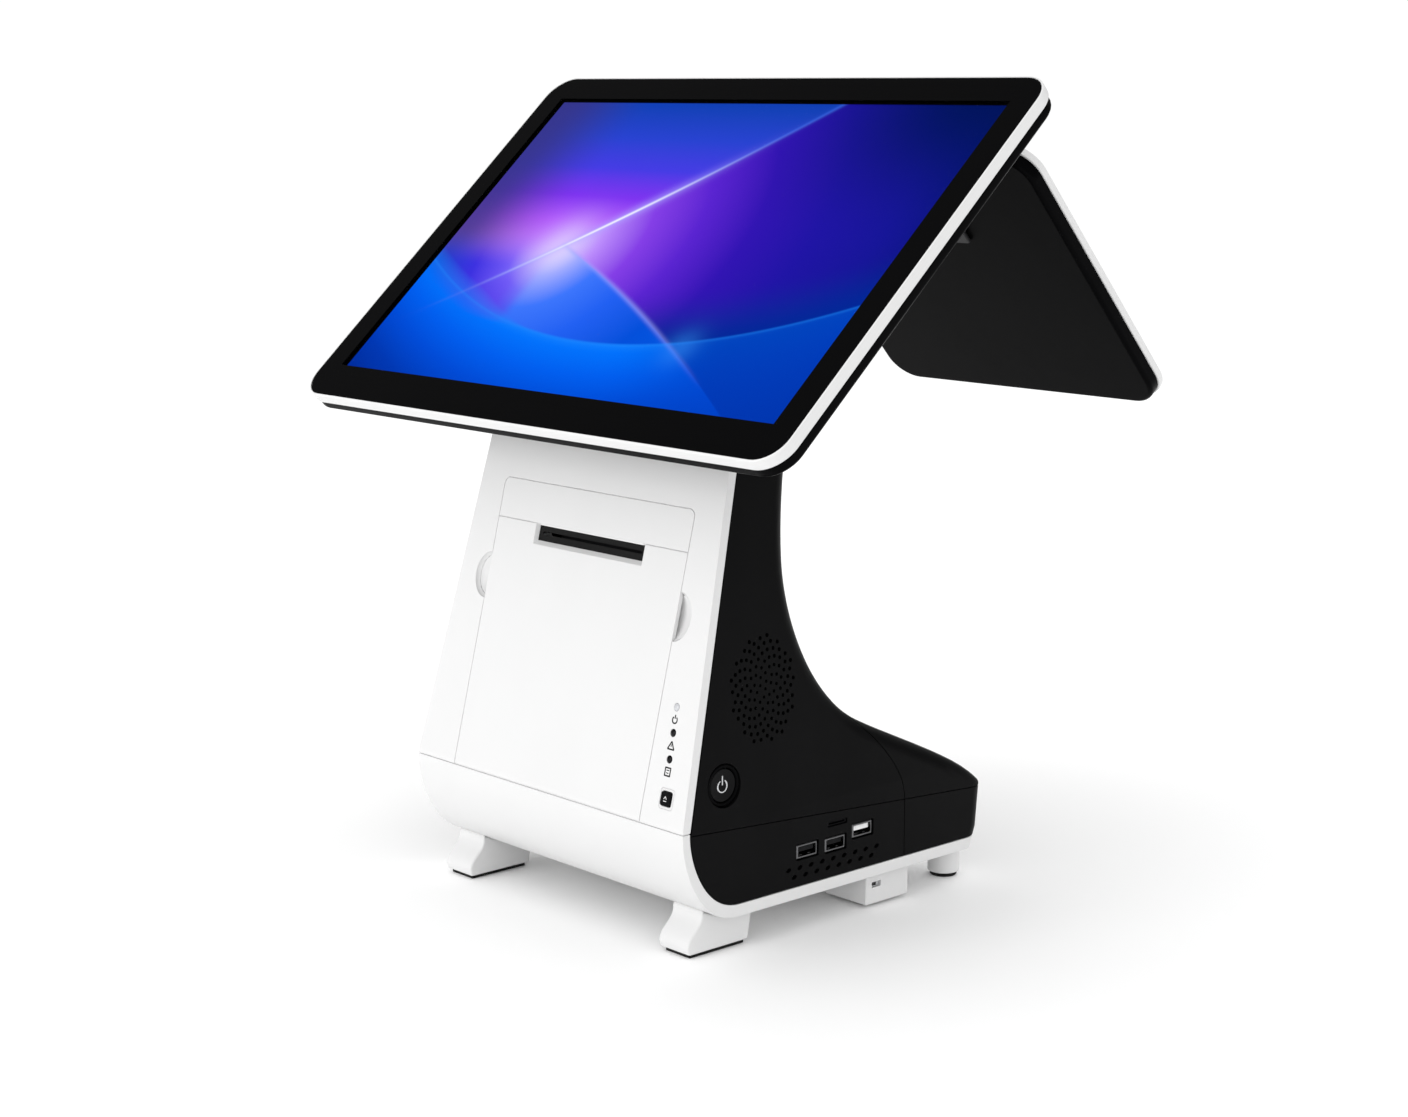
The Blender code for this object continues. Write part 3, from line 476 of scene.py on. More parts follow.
def piece(name, bm, look, body, slot, stands_for=(), place=BASE, smooth=32, weighted=True):
    """A finished piece: set down by its place, shaded, dressed, and riding its body."""
    bm.transform(place)
    merge(bm, 1e-6)
    mesh = into_mesh(bm, name)
    mesh.shade_smooth()
    mesh.set_sharp_from_angle(angle=radians(smooth))
    made = shown(name, mesh)
    mesh.materials.append(look)
    if weighted:
        shading = made.modifiers.new("shading", "WEIGHTED_NORMAL")
        shading.keep_sharp = True
    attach(made, body)
    if stands_for:
        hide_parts(*stands_for)


def white(name, bm, *stands_for, body="base", place=BASE, **shading):
    """A piece in the white moulding."""
    piece(name, bm, WHITE, body, "white_abs", stands_for, place, **shading)


def black(name, bm, *stands_for, look=BLACK, body="base", place=BASE):
    """A piece in one of the black mouldings."""
    piece(name, bm, look, body, "black_abs", stands_for, place)


def carve(solid, tool, operation="DIFFERENCE"):
    """solid with tool cut from it, joined to it, or kept in common with it."""
    work = [shown("work", into_mesh(bm, "work")) for bm in (solid, tool)]
    step = work[0].modifiers.new("carve", "BOOLEAN")
    step.operation = operation
    step.solver = "EXACT"
    step.object = work[1]
    bpy.context.view_layer.update()
    carved = work[0].evaluated_get(bpy.context.evaluated_depsgraph_get()).to_mesh()
    result = bmesh.new()
    result.from_mesh(carved)
    for one in work:
        mesh = one.data
        bpy.data.objects.remove(one)
        bpy.data.meshes.remove(mesh)
    return result


def soften(bm, width, segments=2, angle=40.0):
    """Rounds the sharp edges of a piece."""
    merge(bm, 0.004)
    bmesh.ops.dissolve_limit(bm, angle_limit=radians(0.6), verts=bm.verts, edges=bm.edges)
    limit = radians(angle)
    sharp = [edge for edge in bm.edges if len(edge.link_faces) == 2
             and edge.calc_face_angle(0.0) > limit]
    round_off(bm, sharp, width, segments)
    return bm


def curve(points, steps):
    handles = [Vector((a, b, 0)) for a, b in points]
    return [(p.x, p.y) for p in interpolate_bezier(*handles, steps)]


def slab(outline, low, high, axis="X"):
    """A closed outline carried along X (outline in Y, Z), Y (in X, Z) or Z (in X, Y)."""
    bm = bmesh.new()
    place = {"X": lambda a, b: (low, a, b), "Y": lambda a, b: (a, low, b),
             "Z": lambda a, b: (a, b, low)}[axis]
    face = bm.faces.new([bm.verts.new(place(a, b)) for a, b in outline])
    carried(bm, face, [(high - low) * (axis == letter) for letter in "XYZ"])
    return outward(bm)


def box(low, high, edge=0.0, segments=2):
    low, high = Vector(low), Vector(high)
    bm = bmesh.new()
    bmesh.ops.create_cube(bm, size=1.0)
    bmesh.ops.scale(bm, vec=high - low, verts=bm.verts)
    bmesh.ops.translate(bm, vec=(high + low) / 2, verts=bm.verts)
    if edge:
        round_off(bm, bm.edges[:], edge, segments)
    return bm


def turned(profile, axis, centre, steps=48, close=True):
    """A profile of (radius, along) turned about an axis through centre, nose along +axis."""
    bm = bmesh.new()
    verts = [bm.verts.new((radius, 0, along)) for radius, along in profile]
    edges = [bm.edges.new(pair) for pair in zip(verts, verts[1:])]
    if close:
        edges.append(bm.edges.new((verts[-1], verts[0])))
    bmesh.ops.spin(bm, geom=verts + edges, axis=(0, 0, 1), cent=(0, 0, 0), angle=tau,
                   steps=steps, use_merge=True)
    merge(bm, 0.001)
    return moved(outward(bm), Matrix.Translation(centre) @ TURN_TO[axis])


def rod(radius, low, high, axis="X", centre=(0, 0), sides=24):
    bm = bmesh.new()
    bmesh.ops.create_cone(bm, cap_ends=True, segments=sides, radius1=radius, radius2=radius,
                          depth=high - low)
    middle = (low + high) / 2
    a, b = centre
    move = {"X": (middle, a, b), "Y": (a, middle, b)}[axis]
    return moved(bm, Matrix.Translation(move) @ TURN_TO[axis])


def joined(*shapes):
    """Several closed shapes as one piece."""
    whole = bmesh.new()
    for shape in shapes:
        whole.from_mesh(into_mesh(shape, "part"))
    return whole


def rounded_face(bm, size, inset, depth, back=False, segments=10):
    """One face with round corners at a depth, facing the front, or the back."""
    half, low, high, corner = size
    half -= inset
    low += inset
    high -= inset
    corners = [(-half, low), (half, low), (half, high), (-half, high)]
    if back:
        corners.reverse()
    face = bm.faces.new([bm.verts.new((x, depth, z)) for x, z in corners])
    round_off(bm, list(face.verts), max(corner - inset, 1.0), segments, "VERTICES")
    bm.normal_update()
    return next(iter(bm.faces))


def grow(bm, face, *steps):
    """Carries a face on: inwards by inset and along its normal by rise, step after step."""
    for inset, rise in steps:
        if inset:
            bmesh.ops.inset_region(bm, faces=[face], thickness=inset, depth=rise,
                                   use_even_offset=True, use_boundary=True)
        else:
            normal = face.normal.copy()
            old = face
            face = bmesh.ops.extrude_discrete_faces(bm, faces=[face])["faces"][0]
            bmesh.ops.translate(bm, verts=face.verts, vec=normal * rise)
            if old.is_valid:
                bm.faces.remove(old)
        bm.normal_update()
    return face


def fillet(radius, steps=4):
    """Steps that round an edge between a side wall and the face it runs up to."""
    marks = [radians(90 * step / steps) for step in range(steps + 1)]
    return [(radius * (cos(a) - cos(b)), radius * (sin(b) - sin(a)))
            for a, b in zip(marks, marks[1:])]


def round_outline(half_w, low, high, radius, steps=8):
    corners = ((half_w - radius, high - radius, 0), (-half_w + radius, high - radius, 90),
               (-half_w + radius, low + radius, 180), (half_w - radius, low + radius, 270))
    return [(x + radius * cos(radians(start + 90 * step / steps)),
             z + radius * sin(radians(start + 90 * step / steps)))
            for x, z, start in corners for step in range(steps + 1)]


def ellipsoid(across, deep, high):
    bm = bmesh.new()
    bmesh.ops.create_uvsphere(bm, u_segments=48, v_segments=24, radius=1.0)
    bmesh.ops.scale(bm, vec=(across, deep, high), verts=bm.verts)
    return bm


# Base mouldings

def on_face(x, height):
    """A place on the front face."""
    return FACE @ set_at(x, 0, height)


def front_y(z):
    """Where the front face is at a height."""
    return FRONT_FOOT + (z - SEAM_Z) * tan(FRONT_LEAN)


def side_seam(y):
    """The height of the seam along the sides."""
    return 67.6 - (y + 29.5) * 0.066


def strip_y(z, gap):
    """Where the white front ends on the sides at a height, moved by a gap."""
    return front_y(z) + 5.5 + gap


def housing_form(inset):
    """The base's whole outside as one closed solid, drawn in by inset."""
    outline = [(front_y(NECK_TOP), NECK_TOP)] + curve(NOSE, 30) + [(183, 19.5), (187, 30)]
    outline += list(reversed(curve(NECK, 9) + curve(HOLLOW, 30)[1:] + curve(TAIL, 12)[1:]))
    bm = bmesh.new()
    face = bm.faces.new([bm.verts.new((0, y, z)) for y, z in outline])
    if inset:
        bm.normal_update()
        bmesh.ops.inset_region(bm, faces=[face], thickness=inset, use_even_offset=True,
                               use_boundary=True)
        loose = [vert for vert in bm.verts if vert not in set(face.verts)]
        bmesh.ops.delete(bm, geom=loose, context="VERTS")
    half = HALF_WIDTH - inset
    bmesh.ops.translate(bm, verts=bm.verts, vec=(-half, 0, 0))
    carried(bm, face, (2 * half, 0, 0))
    soft = []
    for edge in bm.edges:
        near, far = edge.verts[0].co, edge.verts[1].co
        if abs(near.x - far.x) < 1 and min(near.y, far.y) > 44:
            soft.append(edge)
    round_off(bm, soft, EDGE_ROUND - inset, 7)
    bmesh.ops.bisect_plane(bm, geom=bm.verts[:] + bm.edges[:] + bm.faces[:],
                           plane_co=(0, 0, SEAM_Z), plane_no=(0, 0, 1))
    for vert in bm.verts:
        vert.co.x *= 1 - max(0.0, vert.co.z - SEAM_Z) * SIDE_TAPER / HALF_WIDTH
    merge(bm, 0.002)
    return outward(bm)


def hollow(outside, inside):
    """A solid with a closed cavity in it."""
    bmesh.ops.reverse_faces(inside, faces=inside.faces)
    return joined(outside, inside)


shell = hollow(housing_form(0.0), housing_form(WALL))
inner_shell = hollow(housing_form(0.9), housing_form(WALL - 0.1))


def moulding(region, source=shell, low=-130, high=130):
    """The wall inside a region of Y, Z."""
    return carve(source.copy(), slab(region, low, high), "INTERSECT")


def seam_liner(name, regions, look, slot):
    """The tongue that closes a seam a little below the surface."""
    strips = [moulding(region, inner_shell) for region in regions]
    piece(name, joined(*strips), look, "base", slot, weighted=False)


def band(gap, steps=26):
    """The line between the white tray's band and the black skirt, moved by a gap."""
    return [(y + gap, z + gap) for y, z in curve(BAND, steps)]


def tail_seam(gap, steps=20):
    """The line between the upper cover and the cable cover, moved by a gap."""
    return [(y + gap, z) for y, z in curve(TAIL_SEAM, steps) + [(76.0, 122.0)]]


def front_face():
    """The white front with its window, finger pockets and holes for the lamps and the key."""
    seam = SEAM_Z + HALF_GAP
    region = [(AHEAD, seam), (strip_y(seam, -HALF_GAP), seam),
              (strip_y(ABOVE, -HALF_GAP), ABOVE), (AHEAD, ABOVE)]
    bm = moulding(region)
    for gap, corner, depth in ((GAP, 4.3, 0.9), (0.02, 4.0, 8)):
        window = round_outline(DOOR_HALF + gap, AHEAD, PANEL_TOP + gap, corner)
        bm = carve(bm, moved(slab(window, -8, depth, "Y"), FACE))
    for side, tag in ((1, "right"), (-1, "left")):
        place = on_face(side * 76.4, 104.5)
        bm = carve(bm, moved(ellipsoid(10.5, 5.0, 12.5), place))
        cup = carve(ellipsoid(12.0, 6.6, 14.0), ellipsoid(10.5, 5.0, 12.5))
        cup = carve(cup, box((-20, 2.6, -20), (20, 10, 20)), "INTERSECT")
        white("finger_cup_" + tag, moved(cup, place), smooth=50)
    x, s = FEED_AT
    hole = round_outline(3.8, -3.8, 3.8, 1.2, 4)
    bm = carve(bm, moved(slab(hole, -5, 6, "Y"), on_face(x, s)))
    rim = round_outline(4.9, -5.2, 5.2, 1.4, 4)
    bm = carve(bm, moved(slab(rim, -5, 0.35, "Y"), on_face(x + 0.5, s)))
    for x, s in LED_AT:
        bm = carve(bm, moved(rod(1.99, -5, 6, "Y", (x, s), 32), FACE))
    soften(bm, 0.35)
    white("front_face", bm, "front_frame")


def tray():
    """The white tray under the base: nose, floor and the band along its sides."""
    region = [(AHEAD, SEAM_Z - HALF_GAP)] + [(y - HALF_GAP, z - HALF_GAP) for y, z in band(0)]
    region += [(200, 25.85), (200, 5), (AHEAD, 5)]
    white("tray", soften(moulding(region), 0.4), "bottom_tray")
    seam = SEAM_Z + HALF_GAP + 0.1
    strip = [(AHEAD, seam - 0.5), (strip_y(seam, -0.4), seam - 0.5), (strip_y(seam, -0.4), seam),
             (AHEAD, seam)]
    seam_liner("front_seam_tongue", [strip], WHITE, "white_abs")


def speaker_holes():
    """A rosette of round holes in a spiral, finer towards its middle."""
    holes = bmesh.new()
    golden = pi * (3 - sqrt(5))
    count = 122
    for index in range(count):
        spread = sqrt((index + 0.6) / count)
        radius = 0.84 + 0.3 * spread
        made = bmesh.ops.create_cone(holes, cap_ends=True, segments=12, radius1=radius,
                                     radius2=radius, depth=30)["verts"]
        at = (104, SPEAKER_AT[0] + 22.5 * spread * cos(index * golden),
              SPEAKER_AT[1] + 27.5 * spread * sin(index * golden))
        bmesh.ops.transform(holes, verts=made,
                            matrix=Matrix.Translation(at) @ Matrix.Rotation(pi / 2, 4, "Y"))
    return holes


def upper_cover():
    """The black body: both sides, the hollow back and the neck."""
    start = strip_y(SEAM_Z, HALF_GAP)
    corner = (SKIRT_END, side_seam(SKIRT_END) + HALF_GAP)
    region = [(start, side_seam(start) + HALF_GAP), (strip_y(ABOVE, HALF_GAP), ABOVE), (66, ABOVE),
              (66, 140)] + tail_seam(-HALF_GAP)[:0:-1] + [corner]
    bm = carve(moulding(region), rod(11.1, 98, 112, "X", POWER_AT, 64))
    soften(bm, 0.35)
    bm = carve(bm, speaker_holes())
    black("upper_cover", bm, "upper_housing")


def vents(bm):
    """Two rows of slanting oval vents under the sockets."""
    for row, z, start in ((0, 36.0, 38.2), (1, 31.6, 42.3)):
        for hole in range(9 - row):
            slot = rod(1.35, *SIDE_CUT, "X", (0, 0), 20)
            bmesh.ops.scale(slot, vec=(1, 1.35, 0.85), verts=slot.verts)
            at = set_at(0, start + 8.1 * hole, z)
            bm = carve(bm, moved(slot, at @ Matrix.Rotation(radians(20), 4, "X")))
    return bm


def skirts():
    """The lower black sides and tail, with the windows for the sockets."""
    bow = band(HALF_GAP)
    top = side_seam(bow[0][0]) - HALF_GAP
    region = [(bow[0][0], top)] + [point for point in bow if point[1] < top - 0.4]
    region += [(SKIRT_END, 26.15), (SKIRT_END, side_seam(SKIRT_END) - HALF_GAP)]
    right = moulding(region, low=60)
    for y, z in USB_AT:
        right = carve(right, box((SIDE_CUT[0], y - 8, z - 4.3), (SIDE_CUT[1], y + 8, z + 4.3), 0.5))
    right = carve(right, box((SIDE_CUT[0], 66.3, 53.2), (SIDE_CUT[1], 80.7, 56.0), 0.5))
    soften(right, 0.3)
    black("side_skirt_right", vents(right), "side_skirt_r")
    black("side_skirt_left", soften(moulding(region, high=-60), 0.3), "side_skirt_l")
    region = [(TAIL_START, 26.15), (BEHIND, 26.15), (BEHIND, side_seam(BEHIND) - HALF_GAP),
              (TAIL_START, side_seam(TAIL_START) - HALF_GAP)]
    tail = moulding(region)
    tail = carve(tail, box((-46, 180, 32), (-34, 196, 44), 0.6))
    tail = carve(tail, box((-24, 180, 31), (-7, 196, 45), 0.6))
    black("tail_skirt", soften(tail, 0.3), "rear_skirt")
    region = [(TAIL_START, side_seam(TAIL_START) + HALF_GAP),
              (BEHIND, side_seam(BEHIND) + HALF_GAP), (BEHIND, 140), (76, 140)]
    region += tail_seam(HALF_GAP)[:0:-1]
    black("cable_cover", soften(moulding(region), 0.3), "rear_cover")


def black_seams():
    """Tongues behind the side seam, the tail seam and the edge of the white strip."""
    rise = 0.4
    side = [(-28, side_seam(-28) - rise), (186, side_seam(186) - rise),
            (186, side_seam(186) + rise), (-28, side_seam(-28) + rise)]
    upright = [(123.8, 27), (124.7, 27), (124.7, 59.2), (123.8, 59.2)]
    near = tail_seam(-0.4)
    far = tail_seam(0.4)
    edge = [(strip_y(70, -0.1), 70), (strip_y(70, 0.5), 70), (strip_y(257, 0.5), 257),
            (strip_y(257, -0.1), 257)]
    inner = band(0.5)
    outer = band(-0.1)
    bow = outer + [(186, outer[-1][1])] + [(186, inner[-1][1])] + list(reversed(inner))
    regions = [side, upright, near + list(reversed(far)), edge, bow]
    seam_liner("seam_tongues", regions, BLACK, "black_abs")


def door_and_panel():
    """The printer door with its paper slot, and the fixed panel over it."""
    lean = tan(FRONT_LEAN)
    top = SEAM_Z + DOOR_TOP * cos(FRONT_LEAN)
    foot = 69.45
    region = [(AHEAD, foot), (0, foot)]
    region += [(y, top + (front_y(top) - y) * lean) for y in (40, AHEAD)]
    door = moulding(region, low=-DOOR_HALF, high=DOOR_HALF)
    throat = [(side * 41.0, y, z) for side in (-1, 1) for y in (2.0, 6.0) for z in (131.8, 146)]
    mouth = [(side * 44.6, -1.5, z) for side in (-1, 1) for z in (124.2, 146)]
    funnel = bmesh.new()
    for corner in throat + mouth:
        funnel.verts.new(corner)
    bmesh.ops.convex_hull(funnel, input=funnel.verts)
    door = carve(door, moved(funnel, FACE))
    for side in (-1, 1):
        low, high = sorted((side * 44.5, side * 48))
        lug = curve(((-1.2, 176), (12, 172), (14, 190), (9, 195)), 16) + [(-2.2, 196.5)]
        ear = carve(slab(lug, low, high), rod(2.4, low - 1, high + 1, "X", PLATEN_AXIS))
        door = carve(door, ear, "UNION")
    # Painted shade: a near-black plate across the slot's throat, with an opening for the paper,
    # stands in for the shadow inside the slot
    shade_plate = moved(carve(box((-43.5, 2.62, 128), (43.5, 3.0, 136.4)),
                        box((-40, 2, 131.6), (40, 4, 133.2))), FACE)
    piece("slot_shade_plate", shade_plate, PRINT_AND_SLOT_SHADE, "door", "black_abs", weighted=False)
    soften(door, 0.35)
    white("receipt_door", door, "printer_door", body="door")
    panel = [(AHEAD, SEAM_Z + 100), (60, SEAM_Z + 100), (60, NECK_TOP - 4), (AHEAD, NECK_TOP - 4)]
    edge = [(x, max(z, DOOR_TOP + GAP)) for x, z in round_outline(DOOR_HALF, DOOR_TOP - 20,
                                                                  PANEL_TOP, 4.0)
            if z > DOOR_TOP - 10]
    edge += [(-DOOR_HALF, DOOR_TOP + GAP), (DOOR_HALF, DOOR_TOP + GAP)]
    fixed = carve(moulding(panel), moved(slab(edge, -8, 6, "Y"), FACE), "INTERSECT")
    white("top_panel_cover", soften(fixed, 0.35), "top_panel")
    tongue = moved(box((-DOOR_HALF, 0.9, DOOR_TOP - 0.1), (-42, 2.4, DOOR_TOP + 0.6)), FACE)
    other = moved(box((42, 0.9, DOOR_TOP - 0.1), (DOOR_HALF, 2.4, DOOR_TOP + 0.6)), FACE)
    lip = moved(box((-41.8, 1.0, 136.2), (41.8, 2.4, 137.6), 0.3, 2), FACE)
    white("panel_tongue", joined(tongue, other, lip), weighted=False)


# Feet

def feet():
    nose = [(y, z - 0.06) for y, z in curve(NOSE, 40) if y > -13.5]
    outline = curve(((-14.2, 23.5), (-12.5, 14.5), (-23.5, 13.5), (-23.5, 5.5)), 18)
    outline += [(-22.5, 2.1), (18.0, 2.1), (21.0, 19.44)] + list(reversed(nose))
    for side, tag in ((1, "r"), (-1, "l")):
        low, high = sorted((side * 78, side * 100.4))
        foot = soften(slab(outline, low, high), 1.3, 3, angle=50)
        white("curved_foot_" + tag, foot, "front_foot_" + tag)
        low, high = sorted((side * 80.2, side * 98.4))
        piece("front_grip_" + tag, box((low, -20.5, 0), (high, 16.5, 1.8), 0.4), RUBBER, "base",
              "rubber", ("front_pad_" + tag,))
        at = (side * 88, REAR_FOOT_Y, 0)
        round_foot = [(0, 2.1), (7.8, 2.1), (8.5, 2.4), (8.8, 3.1), (8.8, 18.4), (8.5, 19.0),
                      (8.0, 19.2), (0, 19.2)]
        white("round_foot_" + tag, turned(round_foot, "Z", at, close=False), "rear_foot_" + tag)
        pad = [(0, 0), (7.0, 0), (7.4, 0.4), (7.4, 1.6), (7.2, 1.8), (0, 1.8)]
        piece("rear_grip_" + tag, turned(pad, "Z", at, close=False), RUBBER, "base", "rubber",
              ("rear_pad_" + tag,))
    lock = box((72.6, 100.8, 2), (103.8, 133.5, 19.2), 0.9, 3)
    lock = carve(lock, box((96, 105.2, 11.0), (105, 112.2, 14.2)))
    white("lock_anchor", lock, "lock_block")
    plate = carve(box((101.6, 105.25, 11.05), (102.6, 112.15, 14.15)),
                  box((101, 105.9, 11.7), (103, 109.6, 13.5)))
    piece("lock_plate", plate, STEEL, "base", "steel")


# Controls

def power_key():
    """A dished key in a recessed ring, with a bright mark of a ring broken by a bar."""
    y, z = POWER_AT
    at = (POWER_X, y, z)
    ring = [(8.9, -4.1), (8.9, -1.0), (9.15, -0.65), (9.6, -0.5), (10.3, -0.5), (10.6, -0.7),
            (10.85, -1.2), (10.85, -4.1)]
    black("power_surround", turned(ring, "X", at, 64), "power_ring", look=PIANO)
    cap = [(0, -1.55), (3, -1.5), (6, -1.3), (7.6, -1.05), (8.2, -1.05), (8.5, -1.35), (8.5, -3.3),
           (3.0, -3.4), (3.0, -8.0), (0, -8.0)]
    black("power_cap", turned(cap, "X", at, 64, close=False), "power_button", look=KEYS,
          body="power_key")
    mark = bmesh.new()
    rim = bmesh.ops.create_circle(mark, cap_ends=True, segments=8, radius=0.42)["verts"]
    bmesh.ops.translate(mark, verts=rim, vec=(0, 3.1, 0))
    bmesh.ops.rotate(mark, verts=mark.verts, cent=(0, 0, 0),
                     matrix=Matrix.Rotation(radians(118), 3, "X"))
    bmesh.ops.spin(mark, geom=mark.verts[:] + mark.edges[:] + mark.faces[:], axis=(1, 0, 0),
                   cent=(0, 0, 0), angle=radians(304), steps=48, use_merge=False)
    outward(mark)
    bar = box((-0.42, -0.42, 0.4), (0.42, 0.42, 5.6), 0.38, 3)
    sign = joined(mark, bar)
    bmesh.ops.scale(sign, vec=(0.5, 1, 1), verts=sign.verts)
    piece("power_mark", moved(sign, set_at(POWER_X - 1.36, y, z - 0.5)), BRIGHT,
          "power_key", "steel")


def printed(name, shapes, x, s):
    """Flat printed shapes on the front face, each an outline in X and height."""
    place = on_face(x, s) @ Matrix.Scale(1.25, 4)
    flats = [moved(slab(shape, -0.03, 0.02, "Y"), place) for shape in shapes]
    piece(name, joined(*flats), PRINT_AND_SLOT_SHADE, "base", "black_abs", weighted=False)


def stroke(x0, z0, x1, z1, width):
    """A straight printed line as an outline."""
    along = Vector((x1 - x0, z1 - z0)).normalized()
    side = Vector((-along.y, along.x)) * width / 2
    return [(x0 + side.x, z0 + side.y), (x0 - side.x, z0 - side.y), (x1 - side.x, z1 - side.y),
            (x1 + side.x, z1 + side.y)]


def arc_stroke(radius, start, end, width, steps=14):
    marks = [radians(start + (end - start) * step / steps) for step in range(steps + 1)]
    outer, inner = ([(reach * cos(a), reach * sin(a)) for a in marks]
                    for reach in (radius + width / 2, radius - width / 2))
    return outer + inner[::-1]


def front_controls():
    """Three lamps with printed signs between them, and the paper feed key."""
    for (x, s), look, node in zip(LED_AT, (CLEAR_LAMP, LAMP, LAMP),
                                  ("led_power", "led_error", "led_paper")):
        dome = [(0, 0.42), (0.8, 0.36), (1.4, 0.2), (1.8, -0.05), (1.9, -0.3), (1.9, -4.0),
                (0, -4.0)]
        lens = turned(dome, "-Y", (0, 0, 0), 32, close=False)
        piece(node + "_lens", moved(lens, on_face(x, s)), look, "base", "lamp", (node,))
    ink = 0.62
    printed("sign_power", [arc_stroke(1.35, 125, 415, ink), stroke(0, 0.5, 0, 2.1, ink)],
            88.8, 54.3)
    printed("sign_fault", [stroke(-1.9, -1.3, 1.9, -1.3, ink), stroke(-1.9, -1.4, 0, 1.9, ink),
                           stroke(1.9, -1.4, 0, 1.9, ink), stroke(0, -0.4, 0, 0.7, 0.4)],
            89.6, 41.3)
    printed("sign_paper", [stroke(-1.5, -1.7, -1.5, 1.7, ink), stroke(1.5, -1.7, 1.5, 1.7, ink),
                           stroke(-1.7, 1.6, 1.7, 1.6, ink), stroke(-1.7, -1.6, 1.7, -1.6, ink),
                           stroke(-0.8, 0.6, 0.8, 0.6, 0.4), stroke(-0.8, -0.5, 0.6, -0.5, 0.4)],
            90.4, 28.5)
    x, s = FEED_AT
    cap = closed_stack((3.5, -3.5, 3.5, 0.9), 0, 4.5, False, (0, 4.7), *fillet(0.5, 3),
                       (1.2, -0.12), segments=4)
    black("feed_cap", moved(cap, on_face(x, s)), "feed_button", look=KEYS, body="feed_key")
    arrow = [stroke(-1.0, -0.2, 0, 1.2, 0.34), stroke(1.0, -0.2, 0, 1.2, 0.34),
             stroke(-1.1, -1.2, 1.1, -1.2, 0.34)]
    flats = [moved(slab(shape, -0.62, -0.5, "Y"), on_face(x, s)) for shape in arrow]
    piece("feed_mark", joined(*flats), WHITE_TONGUE, "feed_key", "white_abs", weighted=False)


# Sockets

def sockets():
    """Three USB sockets with rolled shells, springs and contacts, a card slot, two rear sockets."""
    for number, (y, z) in enumerate(USB_AT, 1):
        shell_box = box((91, y - 7.7, z - 4.0), (108.4, y + 7.7, z + 4.0), 0.9, 3)
        shell_box = carve(shell_box, box((92, y - 6.4, z - 2.7), (110, y + 6.4, z + 2.7), 0.5, 2))
        for spot in (-3.0, 3.0):
            spring = box((101, y + spot - 1.0, z - 2.8), (106.8, y + spot + 1.0, z - 2.1), 0.3, 2)
            shell_box = joined(shell_box, spring)
        piece(f"usb_shell_{number}", shell_box, NICKEL, "base", "steel", (f"usb_port_{number}",))
        look = WHITE_TONGUE if number == 3 else TONGUE
        tongue = box((92, y - 5.6, z - 0.4), (107.4, y + 5.6, z + 2.2), 0.25, 2)
        piece(f"usb_tongue_{number}", tongue, look, "base", "lamp")
        contacts = [box((100, y + spot - 0.55, z - 0.58), (106.6, y + spot + 0.55, z - 0.3), 0.08,
                        1) for spot in (-3.5, -1.0, 1.0, 3.5)]
        piece(f"usb_contacts_{number}", joined(*contacts), GOLD, "base", "steel")
    card = carve(box((96, 66.6, 53.5), (108.2, 80.4, 55.7), 0.3, 2),
                 box((100, 67.5, 54.0), (110, 79.5, 55.2)))
    black("card_reader", card, "card_slot", look=TONGUE)
    inlet = carve(box((-45.7, 172, 32.3), (-34.3, 188.2, 43.7), 0.6, 3),
                  rod(3.4, 176, 190, "Y", (-40, 38), 40))
    black("power_inlet", inlet, "dc_inlet", look=KEYS)
    pin = turned([(0, 11.0), (0.7, 10.6), (1.0, 10.0), (1.0, 0), (0, 0)], "-Y", (0, 0, 0), 24,
                 close=False)
    piece("inlet_pin", moved(pin, set_at(-40, 176, 38) @ HALF_TURN), BRIGHT, "base", "steel")
    jack = carve(box((-23.7, 170, 31.3), (-7.3, 188.2, 44.7), 0.5, 2),
                 box((-21.4, 176, 34), (-9.6, 190, 42)))
    jack = carve(jack, box((-18.4, 176, 41), (-12.6, 190, 43.6)))
    piece("network_socket", jack, STEEL, "base", "steel", ("network_jack",))
    wires = [box((-20 + 1.2 * n, 177, 34.3), (-19.5 + 1.2 * n, 186, 34.9)) for n in range(8)]
    piece("network_contacts", joined(*wires), GOLD, "base", "steel")


# Displays

def rounded_ring(size, front, back, lip, seat, ledge, edge):
    """A ring from depth front to back (front smaller), with rounded outer edges, a lip round
    the glass, a seat of that depth, and an opening inside the ledge."""
    bm = bmesh.new()
    face = rounded_face(bm, size, edge, back)
    for outset, rise in reversed(fillet(edge, 4)):
        face = spread(bm, face, outset, rise)
    face = grow(bm, face, (0, back - front - 2 * edge), *fillet(edge, 4), (lip - edge, 0),
                (0, -seat), (ledge - lip, 0), (0, seat - (back - front)))
    bmesh.ops.delete(bm, geom=[face], context="FACES_ONLY")
    bmesh.ops.bridge_loops(bm, edges=open_edges(bm))
    return outward(bm)


def spread(bm, face, outset, rise):
    """Carries a face on outwards by outset and along its normal by rise."""
    normal = face.normal.copy()
    old = face
    centre = face.calc_center_bounds()
    reach = max(abs(vert.co.x - centre.x) for vert in face.verts)
    tall = max(abs(vert.co.z - centre.z) for vert in face.verts)
    face = bmesh.ops.extrude_discrete_faces(bm, faces=[face])["faces"][0]
    bmesh.ops.translate(bm, verts=face.verts, vec=normal * rise - centre)
    bmesh.ops.scale(bm, verts=face.verts, vec=(1 + outset / reach, 1, 1 + outset / tall))
    bmesh.ops.translate(bm, verts=face.verts, vec=centre)
    if old.is_valid:
        bm.faces.remove(old)
    bm.normal_update()
    return face


def closed_stack(size, inset, start, back, *steps, segments=10):
    """A solid that grows from a rounded face at depth start, capped at both ends."""
    bm = bmesh.new()
    grow(bm, rounded_face(bm, size, inset, start, back, segments), *steps)
    bmesh.ops.holes_fill(bm, edges=open_edges(bm))
    return outward(bm)


